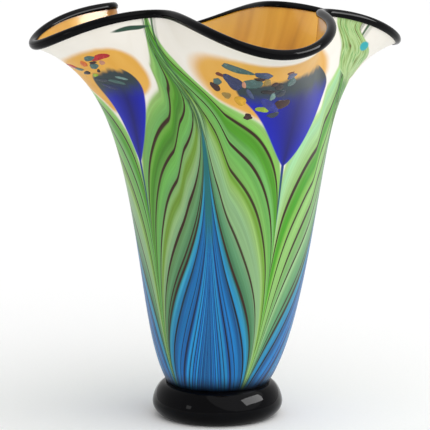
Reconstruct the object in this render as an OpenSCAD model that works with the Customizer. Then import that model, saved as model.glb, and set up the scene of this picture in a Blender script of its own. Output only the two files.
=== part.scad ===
// Hand blown art glass vase: peacock feather pattern, four-lobed ruffled mouth.
// Heights run up from the resting face. An azimuth of 0 is the front (-Y) and
// grows towards +X, so a point sits at [r * sin(azimuth), -r * cos(azimuth), z].

/* [Body] */
// Height of the lip before it is ruffled
lip_z = 300; // [260:1:340]
// Radius that the straight part of the body starts from
waist_r = 50.2; // [44:0.1:58]
// Gain in radius for each millimetre of height
taper = 0.145; // [0.1:0.005:0.2]
// How far the body is drawn in where it meets the foot
neck_in = 14.4; // [8:0.1:16]
// Height over which the drawn-in neck opens out
neck_reach = 27.5; // [20:0.5:40]
// How far the mouth flares at the lip
flare_out = 33; // [18:0.5:34]
// Height over which the flare grows
flare_reach = 36; // [34:1:60]
// Sideways bow of the hand-held body at mid height
bow = 5; // [0:0.5:8]

/* [Ruffle] */
// Azimuth of the first lobe
lobe_azimuth = 17.5; // [0:0.5:45]
// How far a lobe leans out, and a fold leans in
lobe_out = 28.5; // [12:0.5:30]
// How far a lobe hangs down, and a fold stands up
lobe_drop = 12.5; // [4:0.5:16]
// How much flatter the lobes are than the folds, in radius
fold_pinch = 2; // [0:0.1:5]
// How much flatter the lobes are than the folds, in height
fold_peak = 1.8; // [0:0.1:4]
// Height over which the lobes grow out
lobe_reach = 34; // [32:0.5:60]
// Height over which the lobes bend down
drop_reach = 33; // [30:0.5:50]
// How far the mouth is from round
mouth_oval = 9; // [0:0.5:10]
// Azimuth of the long way across the mouth
oval_azimuth = 12; // [0:1:90]
// How much lower the front of the mouth stands
tilt_front = 1.8; // [0:0.1:5]
// How much lower the right of the mouth stands
tilt_right = 0.7; // [0:0.1:5]
// How far the mouth is set back from the foot
mouth_back = 6; // [0:0.5:8]

/* [Glass layers] */
// Depth of the feather and eye glass in the opal casing
feather_t = 0.8; // [0.5:0.1:1]
// Depth of the opal casing
casing_t = 2; // [1.8:0.1:2.6]
// Depth of the amber lining
lining_t = 2; // [1.4:0.1:3]
// Thickness of the black thread round the lip
lip_d = 7.2; // [6.4:0.1:8]

/* [Foot] */
// Radius of the ground face that the vase rests on
foot_base_r = 39; // [34:0.5:44]
// Greatest radius of the foot
foot_r = 50.6; // [46:0.5:56]
// Height of the greatest radius
foot_belly_z = 11.2; // [8:0.2:14]
// Height of the foot where the body comes out of it
foot_h = 26.6; // [24:0.2:30]
// Height that the body's own bottom sits at in the foot
seat_z = 20; // [16:0.5:21]

/* [Feather pattern] */
// Azimuth of each feather eye
eye_azimuths = [33, 141, 221, 309]; // four rising angles, 70 to 110 apart
// Turn of each eye's chips from where the first eye has them
chip_turns = [0, 5, 8, 12]; // four angles, -15 to 15 each
// Turn of the eyes between mid height and the lip
eye_turn = -5; // [-15:1:15]
// Turn of each feather spine between mid height and the lip
spine_turns = [-6, -18, -12, -26]; // four angles, -30 to 10 each
// Turn of each eye's line between mid height and the foot
foot_turns = [-8, -4, -4, 1]; // four angles, -10 to 10 each
// Level of the top of the blue, before it is combed
blue_level = 0.295; // [0.26:0.005:0.32]
// Level of the top of the green, before it is combed
green_level = 0.83; // [0.8:0.005:0.85]
// How much lower the pattern lies on one side
pattern_tilt = 0.05; // [0:0.01:0.06]
// Where the pattern lies lowest, counted in degrees from the first eye
tilt_place = 40; // [0:5:355]

/* [Hidden] */

feathers = len(eye_azimuths);
half_columns = 8;                               // columns from an eye to a spine
feather_columns = 2 * half_columns;
columns = feathers * feather_columns;

// Rows of each zone of the pattern, from the seat to the lip
blue_rows = 6;
green_rows = 8;
cobalt_rows = 3;
halo_rows = 3;
collar_rows = 3;
row_green = blue_rows;
row_cobalt = row_green + green_rows;
row_halo = row_cobalt + cobalt_rows;
row_collar = row_halo + halo_rows;
row_lip = row_collar + collar_rows;
cobalt_columns = 3;                             // columns of an eye on each side of its axis
halo_columns = 6;
inner_rows = 14;
lobes = 4;                                      // lobes round the mouth

blue_fall = 0.09;                               // how far each colour is combed down at the eyes
green_fall = 0.075;
blue_climb = 0.12;                              // how far each colour is combed up at the spines
green_climb = 0.045;
comb_width = 0.02;                              // width of the comb's point, of the way across
blue_low = 0.02;
blue_high = 0.72;
green_low = 0.6;
green_high = 0.965;
cobalt_high = 0.88;
cobalt_width = 0.45;
halo_high = 0.955;
halo_width = 0.85;

turn_level = 0.87;                              // level at which the pattern turns fastest
turn_reach = 0.035;
foot_turn_reach = 0.15;

casing_floor_z = seat_z + casing_t;
lining_floor_z = casing_floor_z + 2 * lining_t;
upright_z = 30;                                 // below this the layers lie straight inwards
upright_reach = 20;
difference_step = 0.05;                         // step for the slope of the surface
upper_crowding = 1.5;                           // crowds the inner rows towards the lip

foot_steps = 12;
foot_lower_curve = 2;
foot_upper_curve = 1.5;
foot_facets = 96;
seat_gap = 0.3;                                 // room round the body in the foot
lip_points = 9;                                 // corners of the thread's round side
lip_sink = 2;                                   // the thread's middle above the wall's end
chip_t = 0.5;
chip_sink = 0.15;
chip_sides = 10;

// Chips of one eye: [turn from the eye, height from its middle, length, width, lean]
chips = [
    [-31, -4, 7, 5, -30], [-31, 8, 6, 4, 0], [-26, 3, 11, 8, 20],
    [-24, 14, 9, 5, 10], [-17, 16, 8, 4, -20], [-11.5, 13, 7, 4, -30],
    [-22, -9, 11, 6, -20], [-15.5, 6, 4, 9, 0], [-17, -5, 4, 9, 5],
    [-15.5, -20, 5, 3.5, 0], [-10.5, 4, 10, 6, -35], [-9.5, -14, 10, 5, -50],
    [-5.5, -6, 11, 5, -40], [-5, 8, 7, 4, -30], [-2, 15, 6, 3.5, 30],
    [0.5, -14, 9, 5, -50], [-5, -20, 6, 3, -20], [-25, -17, 5, 3, 30]
];
chip_eye_level = 0.875;                         // level of the middle of an eye

function clamp(x, low, high) = min(max(x, low), high);
function level(z) = (z - seat_z) / (lip_z - seat_z);
function height(v) = seat_z + v * (lip_z - seat_z);
// A comb dragged down at the eyes and up at the spines pulls each level this far
function fall(s) = ln(s + comb_width);
function climb(s) = -ln(1 - s + comb_width);

// The blown shape: a drawn-in neck, a straight taper and a flared mouth
function profile_r(z) =
    waist_r + taper * (z - seat_z)
    - neck_in * exp((seat_z - z) / neck_reach)
    + flare_out * exp((z - lip_z) / flare_reach);
function ruffle_out(a) =
    lobe_out * cos(lobes * (a - lobe_azimuth)) - fold_pinch * cos(2 * lobes * (a - lobe_azimuth))
    + mouth_oval * cos(2 * (a - oval_azimuth)) - mouth_back * cos(a);
function ruffle_up(a) =
    -lobe_drop * cos(lobes * (a - lobe_azimuth)) - fold_peak * cos(2 * lobes * (a - lobe_azimuth))
    - tilt_front * cos(a) - tilt_right * sin(a);
function growth(z, reach) = exp((z - lip_z) / reach);
function bow_x(z) = bow * sin(180 * level(z)) * (1 - growth(z, lobe_reach));
function wall_point(a, z) =
    let (r = profile_r(z) + growth(z, lobe_reach) * ruffle_out(a))
    [bow_x(z) + r * sin(a), -r * cos(a), z + growth(z, drop_reach) * ruffle_up(a)];

// Outward direction of the wall, level in the foot so that each floor is flat
function wall_normal(a, z) =
    let (
        across = wall_point(a + difference_step, z) - wall_point(a - difference_step, z),
        along = wall_point(a, z + difference_step) - wall_point(a, z - difference_step),
        n = cross(across, along),
        upright = clamp((z - upright_z) / upright_reach, 0, 1),
        m = [n.x, n.y, n.z * upright]
    ) m / norm(m);
function layer_point(a, z, depth) = wall_point(a, z) - depth * wall_normal(a, z);

// The pattern: eye and spine azimuths turn with height
function turn(v) = 1 / (1 + exp((turn_level - v) / turn_reach));
function eye_azimuth(k, v) =
    eye_azimuths[k % feathers] + 360 * floor(k / feathers)
    + eye_turn * turn(v) + foot_turns[k % feathers] * exp(-v / foot_turn_reach);
function spine_azimuth(k, v) =
    (eye_azimuth(k, v) + eye_azimuth(k + 1, v)) / 2
    + (spine_turns[k % feathers] - eye_turn) * turn(v);
function column_azimuth(i, v) =
    let (
        k = floor(i / feather_columns),
        u = (i - k * feather_columns) / half_columns
    )
    u <= 1 ? eye_azimuth(k, v) + u * (spine_azimuth(k, v) - eye_azimuth(k, v))
    : spine_azimuth(k, v) + (u - 1) * (eye_azimuth(k + 1, v) - spine_azimuth(k, v));

// Distance of a column from the nearest eye, from 0 at the eye to 1 at the spine
function reach(i) = 1 - abs((i % feather_columns) / half_columns - 1);
function sag(i) = pattern_tilt * cos(360 * i / columns - tilt_place);
function blue_top(i) =
    let (s = reach(i))
    clamp(blue_level + blue_fall * fall(s) + blue_climb * climb(s) - sag(i),
        blue_low, blue_high);
function green_top(i) =
    let (s = reach(i))
    clamp(green_level + green_fall * fall(s) + green_climb * climb(s) - sag(i),
        green_low, green_high);
function arch(i, high, width) =
    green_top(i) + (high - green_top(i)) * sqrt(max(1 - pow(reach(i) / width, 2), 0));
function in_halo(s) = s <= halo_columns / half_columns;
function in_cobalt(s) = s <= cobalt_columns / half_columns;
function halo_top(i) =
    in_halo(reach(i)) ? arch(i, halo_high, halo_width) : (1 + green_top(i)) / 2;
function cobalt_top(i) =
    in_cobalt(reach(i)) ? arch(i, cobalt_high, cobalt_width)
    : between(green_top(i), halo_top(i), cobalt_rows, cobalt_rows + halo_rows);
function between(low, high, j, rows) = low + (high - low) * j / rows;
function row_level(i, j) =
    j <= row_green ? between(0, blue_top(i), j, blue_rows)
    : j <= row_cobalt ? between(blue_top(i), green_top(i), j - row_green, green_rows)
    : j <= row_halo ? between(green_top(i), cobalt_top(i), j - row_cobalt, cobalt_rows)
    : j <= row_collar ? between(cobalt_top(i), halo_top(i), j - row_halo, halo_rows)
    : between(halo_top(i), 1, j - row_collar, collar_rows);

function grid_point(i, j, depth) =
    let (v = row_level(i, j))
    layer_point(column_azimuth(i, v), height(v), depth);
function grid_points(depth) =
    [for (j = [0:row_lip]) for (i = [0:columns - 1]) grid_point(i, j, depth)];
outer_points = grid_points(0);
under_points = grid_points(feather_t);
grid_count = len(outer_points);
function grid_index(i, j) = j * columns + (i + columns) % columns;

// A cell is inlaid where a feather or an eye lies in it, and plain opal elsewhere
function cell_reach(i) = max(reach(i), reach(i + 1));
function inlaid(i, j) =
    j < row_cobalt || (j < row_collar && in_halo(cell_reach(i)));
function eye_of(i) = floor((i + half_columns) / feather_columns) % feathers;
function spine_of(i) = floor(i / feather_columns);

// Two triangles on four corners, always split the same way
function quad(a, b, c, d) = [[a, b, c], [a, c, d]];
function flipped(faces) = [for (f = faces) [f[2], f[1], f[0]]];
function flat(lists) = [for (part = lists) for (item = part) item];
function cell(i, j, shift) =
    quad(grid_index(i, j) + shift, grid_index(i, j + 1) + shift,
        grid_index(i + 1, j + 1) + shift, grid_index(i + 1, j) + shift);
function rim(p, q) = quad(p, q, q + grid_count, p + grid_count);

// A slab of coloured glass over the cells that a function marks
module slab(marked) {
    cells = [for (j = [0:row_lip - 1]) for (i = [0:columns - 1]) if (marked(i, j)) [i, j]];
    skin = flat([for (c = cells) cell(c[0], c[1], 0)]);
    back = flat([for (c = cells) flipped(cell(c[0], c[1], grid_count))]);
    edges = flat([for (c = cells)
        let (
            i = c[0],
            j = c[1],
            sw = grid_index(i, j),
            se = grid_index(i + 1, j),
            ne = grid_index(i + 1, j + 1),
            nw = grid_index(i, j + 1)
        )
        concat(
            j > 0 && marked(i, j - 1) ? [] : rim(sw, se),
            marked((i + 1) % columns, j) ? [] : rim(se, ne),
            marked(i, j + 1) ? [] : rim(ne, nw),
            marked((i + columns - 1) % columns, j) ? [] : rim(nw, sw)
        )]);
    polyhedron(concat(outer_points, under_points), concat(skin, back, edges));
}

// Rings of the plain inner layers, crowded towards the lip
function inner_z(floor_z, j) =
    lip_z - (lip_z - floor_z) * pow(1 - j / inner_rows, upper_crowding);
function inner_points(floor_z, depth) =
    [for (j = [0:inner_rows]) for (i = [0:columns - 1])
        let (z = inner_z(floor_z, j))
        layer_point(column_azimuth(i, level(z)), z, depth)];
function ring_face(i, j, shift) =
    let (n = (i + 1) % columns)
    quad(shift + j * columns + i, shift + (j + 1) * columns + i,
        shift + (j + 1) * columns + n, shift + j * columns + n);
function rings(rows, shift) =
    flat([for (j = [0:rows - 1]) for (i = [0:columns - 1]) ring_face(i, j, shift)]);
function floor_faces(first, centre) =
    [for (i = [0:columns - 1]) [first + i, first + (i + 1) % columns, centre]];
function ring_joint(low, high) =
    flat([for (i = [0:columns - 1])
        let (n = (i + 1) % columns) quad(low + i, high + i, high + n, low + n)]);

module foot() {
    lower = [for (k = [0:foot_steps])
        let (t = k / foot_steps)
        [foot_base_r + (foot_r - foot_base_r) * sqrt(1 - pow(1 - t, foot_lower_curve)),
            foot_belly_z * t]];
    upper = [for (k = [1:foot_steps])
        let (t = sin(90 * k / foot_steps), neck_r = profile_r(foot_h) + seat_gap)
        [neck_r + (foot_r - neck_r) * sqrt(1 - pow(t, foot_upper_curve)),
            foot_belly_z + (foot_h - foot_belly_z) * t]];
    socket = [[profile_r(seat_z) + seat_gap, seat_z], [0, seat_z], [0, 0]];
    color("#0c0c10")
        rotate_extrude($fn = foot_facets) polygon(concat(lower, upper, socket));
}

module amber_lining() {
    outside = inner_points(casing_floor_z, casing_t);
    inside = inner_points(lining_floor_z, casing_t + lining_t);
    count = len(outside);
    top = inner_rows * columns;
    centres = [[0, 0, casing_floor_z], [0, 0, lining_floor_z]];
    color("#d9992e")
        polyhedron(
            concat(outside, inside, centres),
            concat(
                rings(inner_rows, 0),
                flipped(rings(inner_rows, count)),
                floor_faces(0, 2 * count),
                flipped(floor_faces(count, 2 * count + 1)),
                ring_joint(top, count + top)
            )
        );
}

module opal_casing() {
    contact = inner_points(casing_floor_z, casing_t);
    first_inner = 2 * grid_count;
    centre = first_inner + len(contact);
    skin = flat([for (j = [0:row_lip - 1]) for (i = [0:columns - 1])
        cell(i, j, inlaid(i, j) ? grid_count : 0)]);
    steps = flat([for (j = [1:row_lip - 1]) for (i = [0:columns - 1])
        let (
            here = inlaid(i, j),
            sw = grid_index(i, j),
            se = grid_index(i + 1, j),
            ne = grid_index(i + 1, j + 1),
            east = inlaid((i + 1) % columns, j)
        )
        concat(
            here == inlaid(i, j - 1) ? [] : here ? flipped(rim(sw, se)) : rim(sw, se),
            here == east ? [] : here ? flipped(rim(se, ne)) : rim(se, ne)
        )]);
    color("#ece6d8")
        polyhedron(
            concat(outer_points, under_points, contact,
                [[0, 0, seat_z], [0, 0, casing_floor_z]]),
            concat(
                skin,
                steps,
                flipped(rings(inner_rows, first_inner)),
                floor_faces(grid_count, centre),
                flipped(floor_faces(first_inner, centre + 1)),
                ring_joint(row_lip * columns, first_inner + inner_rows * columns)
            )
        );
}

module lip_wrap() {
    wall_t = casing_t + lining_t;
    chord_angle = acos(lip_sink / (lip_d / 2));
    sweep = 360 - 2 * chord_angle;
    points = [for (i = [0:columns - 1])
        let (
            a = column_azimuth(i, 1),
            out = wall_normal(a, lip_z),
            rise = wall_point(a, lip_z) - wall_point(a, lip_z - difference_step),
            up = rise / norm(rise),
            middle = layer_point(a, lip_z, wall_t / 2) + lip_sink * up
        )
        for (k = [0:lip_points])
            let (b = chord_angle + sweep * k / lip_points)
            middle + lip_d / 2 * (sin(b) * out - cos(b) * up)];
    sides = lip_points + 1;
    color("#0a0a0c")
        polyhedron(points,
            flat([for (i = [0:columns - 1]) for (k = [0:sides - 1])
                let (n = (i + 1) % columns, m = (k + 1) % sides)
                quad(i * sides + k, i * sides + m, n * sides + m, n * sides + k)]));
}

module blue_feather(k) {
    color("#1a78b4")
        slab(function (i, j) j < row_green && spine_of(i) == k - 1);
}

module green_feather(k) {
    color("#6cb646")
        slab(function (i, j) j >= row_green && j < row_cobalt && eye_of(i) == k - 1);
}

module cobalt_eye(k) {
    color("#16148a")
        slab(function (i, j)
            j >= row_cobalt && j < row_halo && in_cobalt(cell_reach(i)) && eye_of(i) == k - 1);
}

module amber_halo(k) {
    color("#d68f22")
        slab(function (i, j)
            j >= row_cobalt && j < row_collar && in_halo(cell_reach(i)) && eye_of(i) == k - 1
            && !(j < row_halo && in_cobalt(cell_reach(i))));
}

// Thin ten-sided shards of glass melted on to the eye, each lying along the wall
module frit_chips(k) {
    z_eye = height(chip_eye_level);
    a_eye = eye_azimuth(k - 1, chip_eye_level) + chip_turns[k - 1];
    color("#5a6a6a")
        for (c = chips) {
            z = z_eye + c[1];
            a = a_eye + c[0];
            n = wall_normal(a, z);
            side = cross([0, 0, 1], n);
            x = side / norm(side);
            y = cross(n, x);
            p = wall_point(a, z) - chip_sink * n;
            multmatrix([
                [x.x, y.x, n.x, p.x],
                [x.y, y.y, n.y, p.y],
                [x.z, y.z, n.z, p.z]
            ])
                rotate(c[4])
                    scale([c[2] / 2, c[3] / 2, 1])
                        cylinder(h = chip_t, r = 1, $fn = chip_sides);
        }
}

foot();
amber_lining();
opal_casing();
lip_wrap();
blue_feather(1);  // blue_feather_1
blue_feather(2);  // blue_feather_2
blue_feather(3);  // blue_feather_3
blue_feather(4);  // blue_feather_4
green_feather(1);  // green_feather_1
green_feather(2);  // green_feather_2
green_feather(3);  // green_feather_3
green_feather(4);  // green_feather_4
amber_halo(1);  // amber_halo_1
amber_halo(2);  // amber_halo_2
amber_halo(3);  // amber_halo_3
amber_halo(4);  // amber_halo_4
cobalt_eye(1);  // cobalt_eye_1
cobalt_eye(2);  // cobalt_eye_2
cobalt_eye(3);  // cobalt_eye_3
cobalt_eye(4);  // cobalt_eye_4
frit_chips(1);  // frit_chips_1
frit_chips(2);  // frit_chips_2
frit_chips(3);  // frit_chips_3
frit_chips(4);  // frit_chips_4
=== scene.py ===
"""Hand blown art glass vase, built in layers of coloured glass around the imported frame.

Every length is in metres. A place on the wall is given by its turn and its level: the turn
counts feather eyes round the vase, with the spines halfway between, and the level runs from
0 where the body sits in the foot to 1 at the lip.
"""
import logging
import math
from dataclasses import dataclass, field
from enum import Enum

import bmesh
import bpy
import numpy as np
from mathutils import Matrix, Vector


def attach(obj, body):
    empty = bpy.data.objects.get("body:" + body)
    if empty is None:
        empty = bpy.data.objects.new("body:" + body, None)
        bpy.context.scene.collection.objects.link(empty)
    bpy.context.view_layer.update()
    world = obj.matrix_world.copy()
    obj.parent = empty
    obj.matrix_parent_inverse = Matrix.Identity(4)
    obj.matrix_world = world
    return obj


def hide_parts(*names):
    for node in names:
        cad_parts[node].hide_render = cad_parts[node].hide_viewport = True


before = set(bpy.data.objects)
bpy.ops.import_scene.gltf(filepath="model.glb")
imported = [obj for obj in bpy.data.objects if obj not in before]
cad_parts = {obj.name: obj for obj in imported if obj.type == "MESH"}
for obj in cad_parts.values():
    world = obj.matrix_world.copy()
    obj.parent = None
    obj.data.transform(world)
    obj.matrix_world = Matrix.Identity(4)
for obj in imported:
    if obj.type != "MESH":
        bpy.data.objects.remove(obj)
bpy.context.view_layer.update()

LOG = logging.getLogger("art_glass_vase")

MM = 0.001
PATTERN_MAP = "pattern"
TURN = "turn"
LEVEL = "level"
ROW = "row"
DEPTH = "depth"
TONE = "tone"
MERGE_DISTANCE = 1e-7

Stops = list[tuple[float, tuple[int, int, int]]]
Socket = bpy.types.NodeSocket


def colour(red: int, green: int, blue: int) -> tuple[float, float, float, float]:
    """Turns display values from 0 to 255 into a linear colour.

    Args:
        red: Red as a display shows it.
        green: Green as a display shows it.
        blue: Blue as a display shows it.

    Returns:
        The linear colour with full opacity.
    """
    def linear(value: int) -> float:
        """Undoes the display curve for one channel."""
        part = value / 255
        return part / 12.92 if part <= 0.04045 else ((part + 0.055) / 1.055) ** 2.4
    return linear(red), linear(green), linear(blue), 1.0


# --------------------------------------------------------------------------- shape


@dataclass(frozen=True)
class VaseForm:
    """The blown shape: a drawn-in neck, a straight taper and a ruffled, flared mouth."""

    seat_z: float = 0.020
    lip_z: float = 0.3
    waist_r: float = 0.0502
    taper: float = 0.145
    neck_in: float = 0.0144
    neck_reach: float = 0.0275
    flare_out: float = 0.033
    flare_reach: float = 0.036
    bow: float = 0.005
    lobe_azimuth: float = 17.5
    lobe_out: float = 0.0285
    lobe_drop: float = 0.0125
    fold_pinch: float = 0.002
    fold_peak: float = 0.0018
    lobe_reach: float = 0.034
    drop_reach: float = 0.033
    mouth_oval: float = 0.009
    oval_azimuth: float = 12
    tilt_front: float = 0.0018
    tilt_right: float = 0.0007
    mouth_back: float = 0.006
    upright_z: float = 0.030
    upright_reach: float = 0.020
    slope_step: float = 5e-5
    slope_turn: float = 0.05

    def height(self, level: np.ndarray) -> np.ndarray:
        """Gives the unruffled height of a level."""
        return self.seat_z + level * (self.lip_z - self.seat_z)

    def radius(self, z: np.ndarray) -> np.ndarray:
        """Gives the radius of the unruffled wall at a height."""
        neck = self.neck_in * np.exp((self.seat_z - z) / self.neck_reach)
        flare = self.flare_out * np.exp((z - self.lip_z) / self.flare_reach)
        return self.waist_r + self.taper * (z - self.seat_z) - neck + flare

    def ruffle_out(self, azimuth: np.ndarray) -> np.ndarray:
        """Gives how far the ruffle moves the lip outwards."""
        lobe = np.radians(4 * (azimuth - self.lobe_azimuth))
        oval = np.radians(2 * (azimuth - self.oval_azimuth))
        return (
            self.lobe_out * np.cos(lobe)
            - self.fold_pinch * np.cos(2 * lobe)
            + self.mouth_oval * np.cos(oval)
            - self.mouth_back * np.cos(np.radians(azimuth))
        )

    def ruffle_up(self, azimuth: np.ndarray) -> np.ndarray:
        """Gives how far the ruffle lifts the lip."""
        lobe = np.radians(4 * (azimuth - self.lobe_azimuth))
        turn = np.radians(azimuth)
        return (
            -self.lobe_drop * np.cos(lobe)
            - self.fold_peak * np.cos(2 * lobe)
            - self.tilt_front * np.cos(turn)
            - self.tilt_right * np.sin(turn)
        )

    def wall(self, azimuth: np.ndarray, z: np.ndarray) -> np.ndarray:
        """Finds points on the outside of the wall.

        Args:
            azimuth: Degrees from the front, growing to the right.
            z: Height before the ruffle lifts it.

        Returns:
            One row of x, y and z for each point.
        """
        grown = np.exp((z - self.lip_z) / self.lobe_reach)
        lifted = np.exp((z - self.lip_z) / self.drop_reach)
        level = (z - self.seat_z) / (self.lip_z - self.seat_z)
        centre = self.bow * np.sin(np.pi * level) * (1 - grown)
        r = self.radius(z) + grown * self.ruffle_out(azimuth)
        turn = np.radians(azimuth)
        return np.stack(
            [centre + r * np.sin(turn), -r * np.cos(turn), z + lifted * self.ruffle_up(azimuth)],
            axis=-1,
        )

    def outward(self, azimuth: np.ndarray, z: np.ndarray, levelled: bool = True) -> np.ndarray:
        """Finds the outward direction of the wall.

        Args:
            azimuth: Degrees from the front.
            z: Height before the ruffle lifts it.
            levelled: Whether the direction lies flat inside the foot, as the layers do.

        Returns:
            One unit vector for each point.
        """
        across = (self.wall(azimuth + self.slope_turn, z)
                  - self.wall(azimuth - self.slope_turn, z))
        along = self.wall(azimuth, z + self.slope_step) - self.wall(azimuth, z - self.slope_step)
        normal = np.cross(across, along)
        if levelled:
            normal[..., 2] *= np.clip((z - self.upright_z) / self.upright_reach, 0, 1)
        return normal / np.linalg.norm(normal, axis=-1, keepdims=True)

    def layer(self, azimuth: np.ndarray, z: np.ndarray, depth: np.ndarray) -> np.ndarray:
        """Finds points at a depth inside the wall."""
        return self.wall(azimuth, z) - np.asarray(depth)[..., None] * self.outward(azimuth, z)


@dataclass(frozen=True)
class FeatherPlan:
    """Where the feather pattern lies on the vase, and how far each colour was combed."""

    eye_azimuths: tuple[float, ...] = (33, 141, 221, 309)
    eye_turn: float = -5
    spine_turns: tuple[float, ...] = (-6, -18, -12, -26)
    foot_turns: tuple[float, ...] = (-8, -4, -4, 1)
    turn_level: float = 0.87
    turn_reach: float = 0.035
    foot_turn_reach: float = 0.15
    blue_level: float = 0.295
    green_level: float = 0.83
    blue_fall: float = 0.09
    green_fall: float = 0.075
    blue_climb: float = 0.12
    green_climb: float = 0.045
    comb_width: float = 0.02
    pattern_tilt: float = 0.05
    tilt_place: float = 40
    blue_range: tuple[float, float] = (0.02, 0.72)
    green_range: tuple[float, float] = (0.6, 0.965)
    cobalt_high: float = 0.88
    cobalt_width: float = 0.45
    cobalt_reach: float = 0.375
    halo_high: float = 0.955
    halo_width: float = 0.85
    halo_reach: float = 0.75

    def turned(self, level: np.ndarray) -> np.ndarray:
        """Gives how much of the turn at the lip has happened at a level."""
        return 1 / (1 + np.exp((self.turn_level - level) / self.turn_reach))

    def eye_azimuth(self, eye: np.ndarray, level: np.ndarray) -> np.ndarray:
        """Gives the azimuth of an eye's line at a level."""
        count = len(self.eye_azimuths)
        index = eye.astype(int)
        start = np.array(self.eye_azimuths)[index % count] + 360 * (index // count)
        at_foot = np.array(self.foot_turns)[index % count] * np.exp(-level / self.foot_turn_reach)
        return start + self.eye_turn * self.turned(level) + at_foot

    def azimuth(self, turn: np.ndarray, level: np.ndarray) -> np.ndarray:
        """Turns a place in the pattern into an azimuth.

        Args:
            turn: Place round the vase, with a whole number at each eye.
            level: Level on the wall.

        Returns:
            Degrees from the front.
        """
        eye = np.floor(turn + MERGE_DISTANCE)
        part = 2 * (turn - eye)
        before, after = self.eye_azimuth(eye, level), self.eye_azimuth(eye + 1, level)
        extra = np.array(self.spine_turns)[eye.astype(int) % len(self.spine_turns)]
        spine = (before + after) / 2 + (extra - self.eye_turn) * self.turned(level)
        return np.where(
            part <= 1, before + part * (spine - before), spine + (part - 1) * (after - spine)
        )

    def reach(self, turn: np.ndarray) -> np.ndarray:
        """Gives the distance from the nearest eye, from 0 at the eye to 1 at the spine."""
        return np.clip(1 - np.abs(2 * (turn - np.floor(turn)) - 1), 0, 1)

    def sag(self, turn: np.ndarray) -> np.ndarray:
        """Gives how much lower the pattern lies at a turn."""
        quarter = 360 / len(self.eye_azimuths)
        return self.pattern_tilt * np.cos(np.radians(quarter * turn - self.tilt_place))

    def combed(self, turn: np.ndarray, start: float, fall: float, climb: float) -> np.ndarray:
        """Gives where a comb has dragged a band that lay at one level."""
        s = self.reach(turn)
        dragged = fall * np.log(s + self.comb_width) - climb * np.log(1 - s + self.comb_width)
        return start + dragged - self.sag(turn)

    def blue_top(self, turn: np.ndarray) -> np.ndarray:
        """Gives the level of the top of the blue."""
        raw = self.combed(turn, self.blue_level, self.blue_fall, self.blue_climb)
        return np.clip(raw, *self.blue_range)

    def green_top(self, turn: np.ndarray) -> np.ndarray:
        """Gives the level of the top of the green."""
        raw = self.combed(turn, self.green_level, self.green_fall, self.green_climb)
        return np.clip(raw, *self.green_range)

    def arch(self, turn: np.ndarray, high: float, width: float) -> np.ndarray:
        """Gives the rounded top of a patch that stands on the green."""
        low = self.green_top(turn)
        return low + (high - low) * np.sqrt(np.clip(1 - (self.reach(turn) / width) ** 2, 0, 1))

    def in_halo(self, turn: np.ndarray) -> np.ndarray:
        """Tells whether the halo crosses a turn."""
        return self.reach(turn) <= self.halo_reach + MERGE_DISTANCE

    def in_cobalt(self, turn: np.ndarray) -> np.ndarray:
        """Tells whether the cobalt crosses a turn."""
        return self.reach(turn) <= self.cobalt_reach + MERGE_DISTANCE

    def halo_top(self, turn: np.ndarray) -> np.ndarray:
        """Gives the level of the top of the halo, or halfway up the collar beside it."""
        beside = (1 + self.green_top(turn)) / 2
        return np.where(
            self.in_halo(turn), self.arch(turn, self.halo_high, self.halo_width), beside
        )

    def cobalt_top(self, turn: np.ndarray) -> np.ndarray:
        """Gives the level of the top of the cobalt, or halfway up the halo beside it."""
        beside = (self.green_top(turn) + self.halo_top(turn)) / 2
        return np.where(
            self.in_cobalt(turn), self.arch(turn, self.cobalt_high, self.cobalt_width), beside
        )


class Zone(Enum):
    """A zone of the pattern: its place from the seat up, and the rows of mesh that it takes."""

    BLUE = (0, 40)
    GREEN = (1, 64)
    COBALT = (2, 24)
    HALO = (3, 24)
    COLLAR = (4, 12)

    @property
    def rows(self) -> int:
        """Gives the rows of mesh that the zone takes."""
        return self.value[1]


def new_wall_mesh() -> bmesh.types.BMesh:
    """Starts a mesh whose vertices note their places in the wall."""
    mesh = bmesh.new()
    for name in (TURN, LEVEL, DEPTH, ROW):
        mesh.verts.layers.float.new(name)
    mesh.loops.layers.uv.new(PATTERN_MAP)
    return mesh


def first_row(zone: Zone) -> int:
    """Gives the row of mesh that a zone starts at."""
    order = list(Zone)
    return sum(item.rows for item in order[:order.index(zone)])


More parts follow.
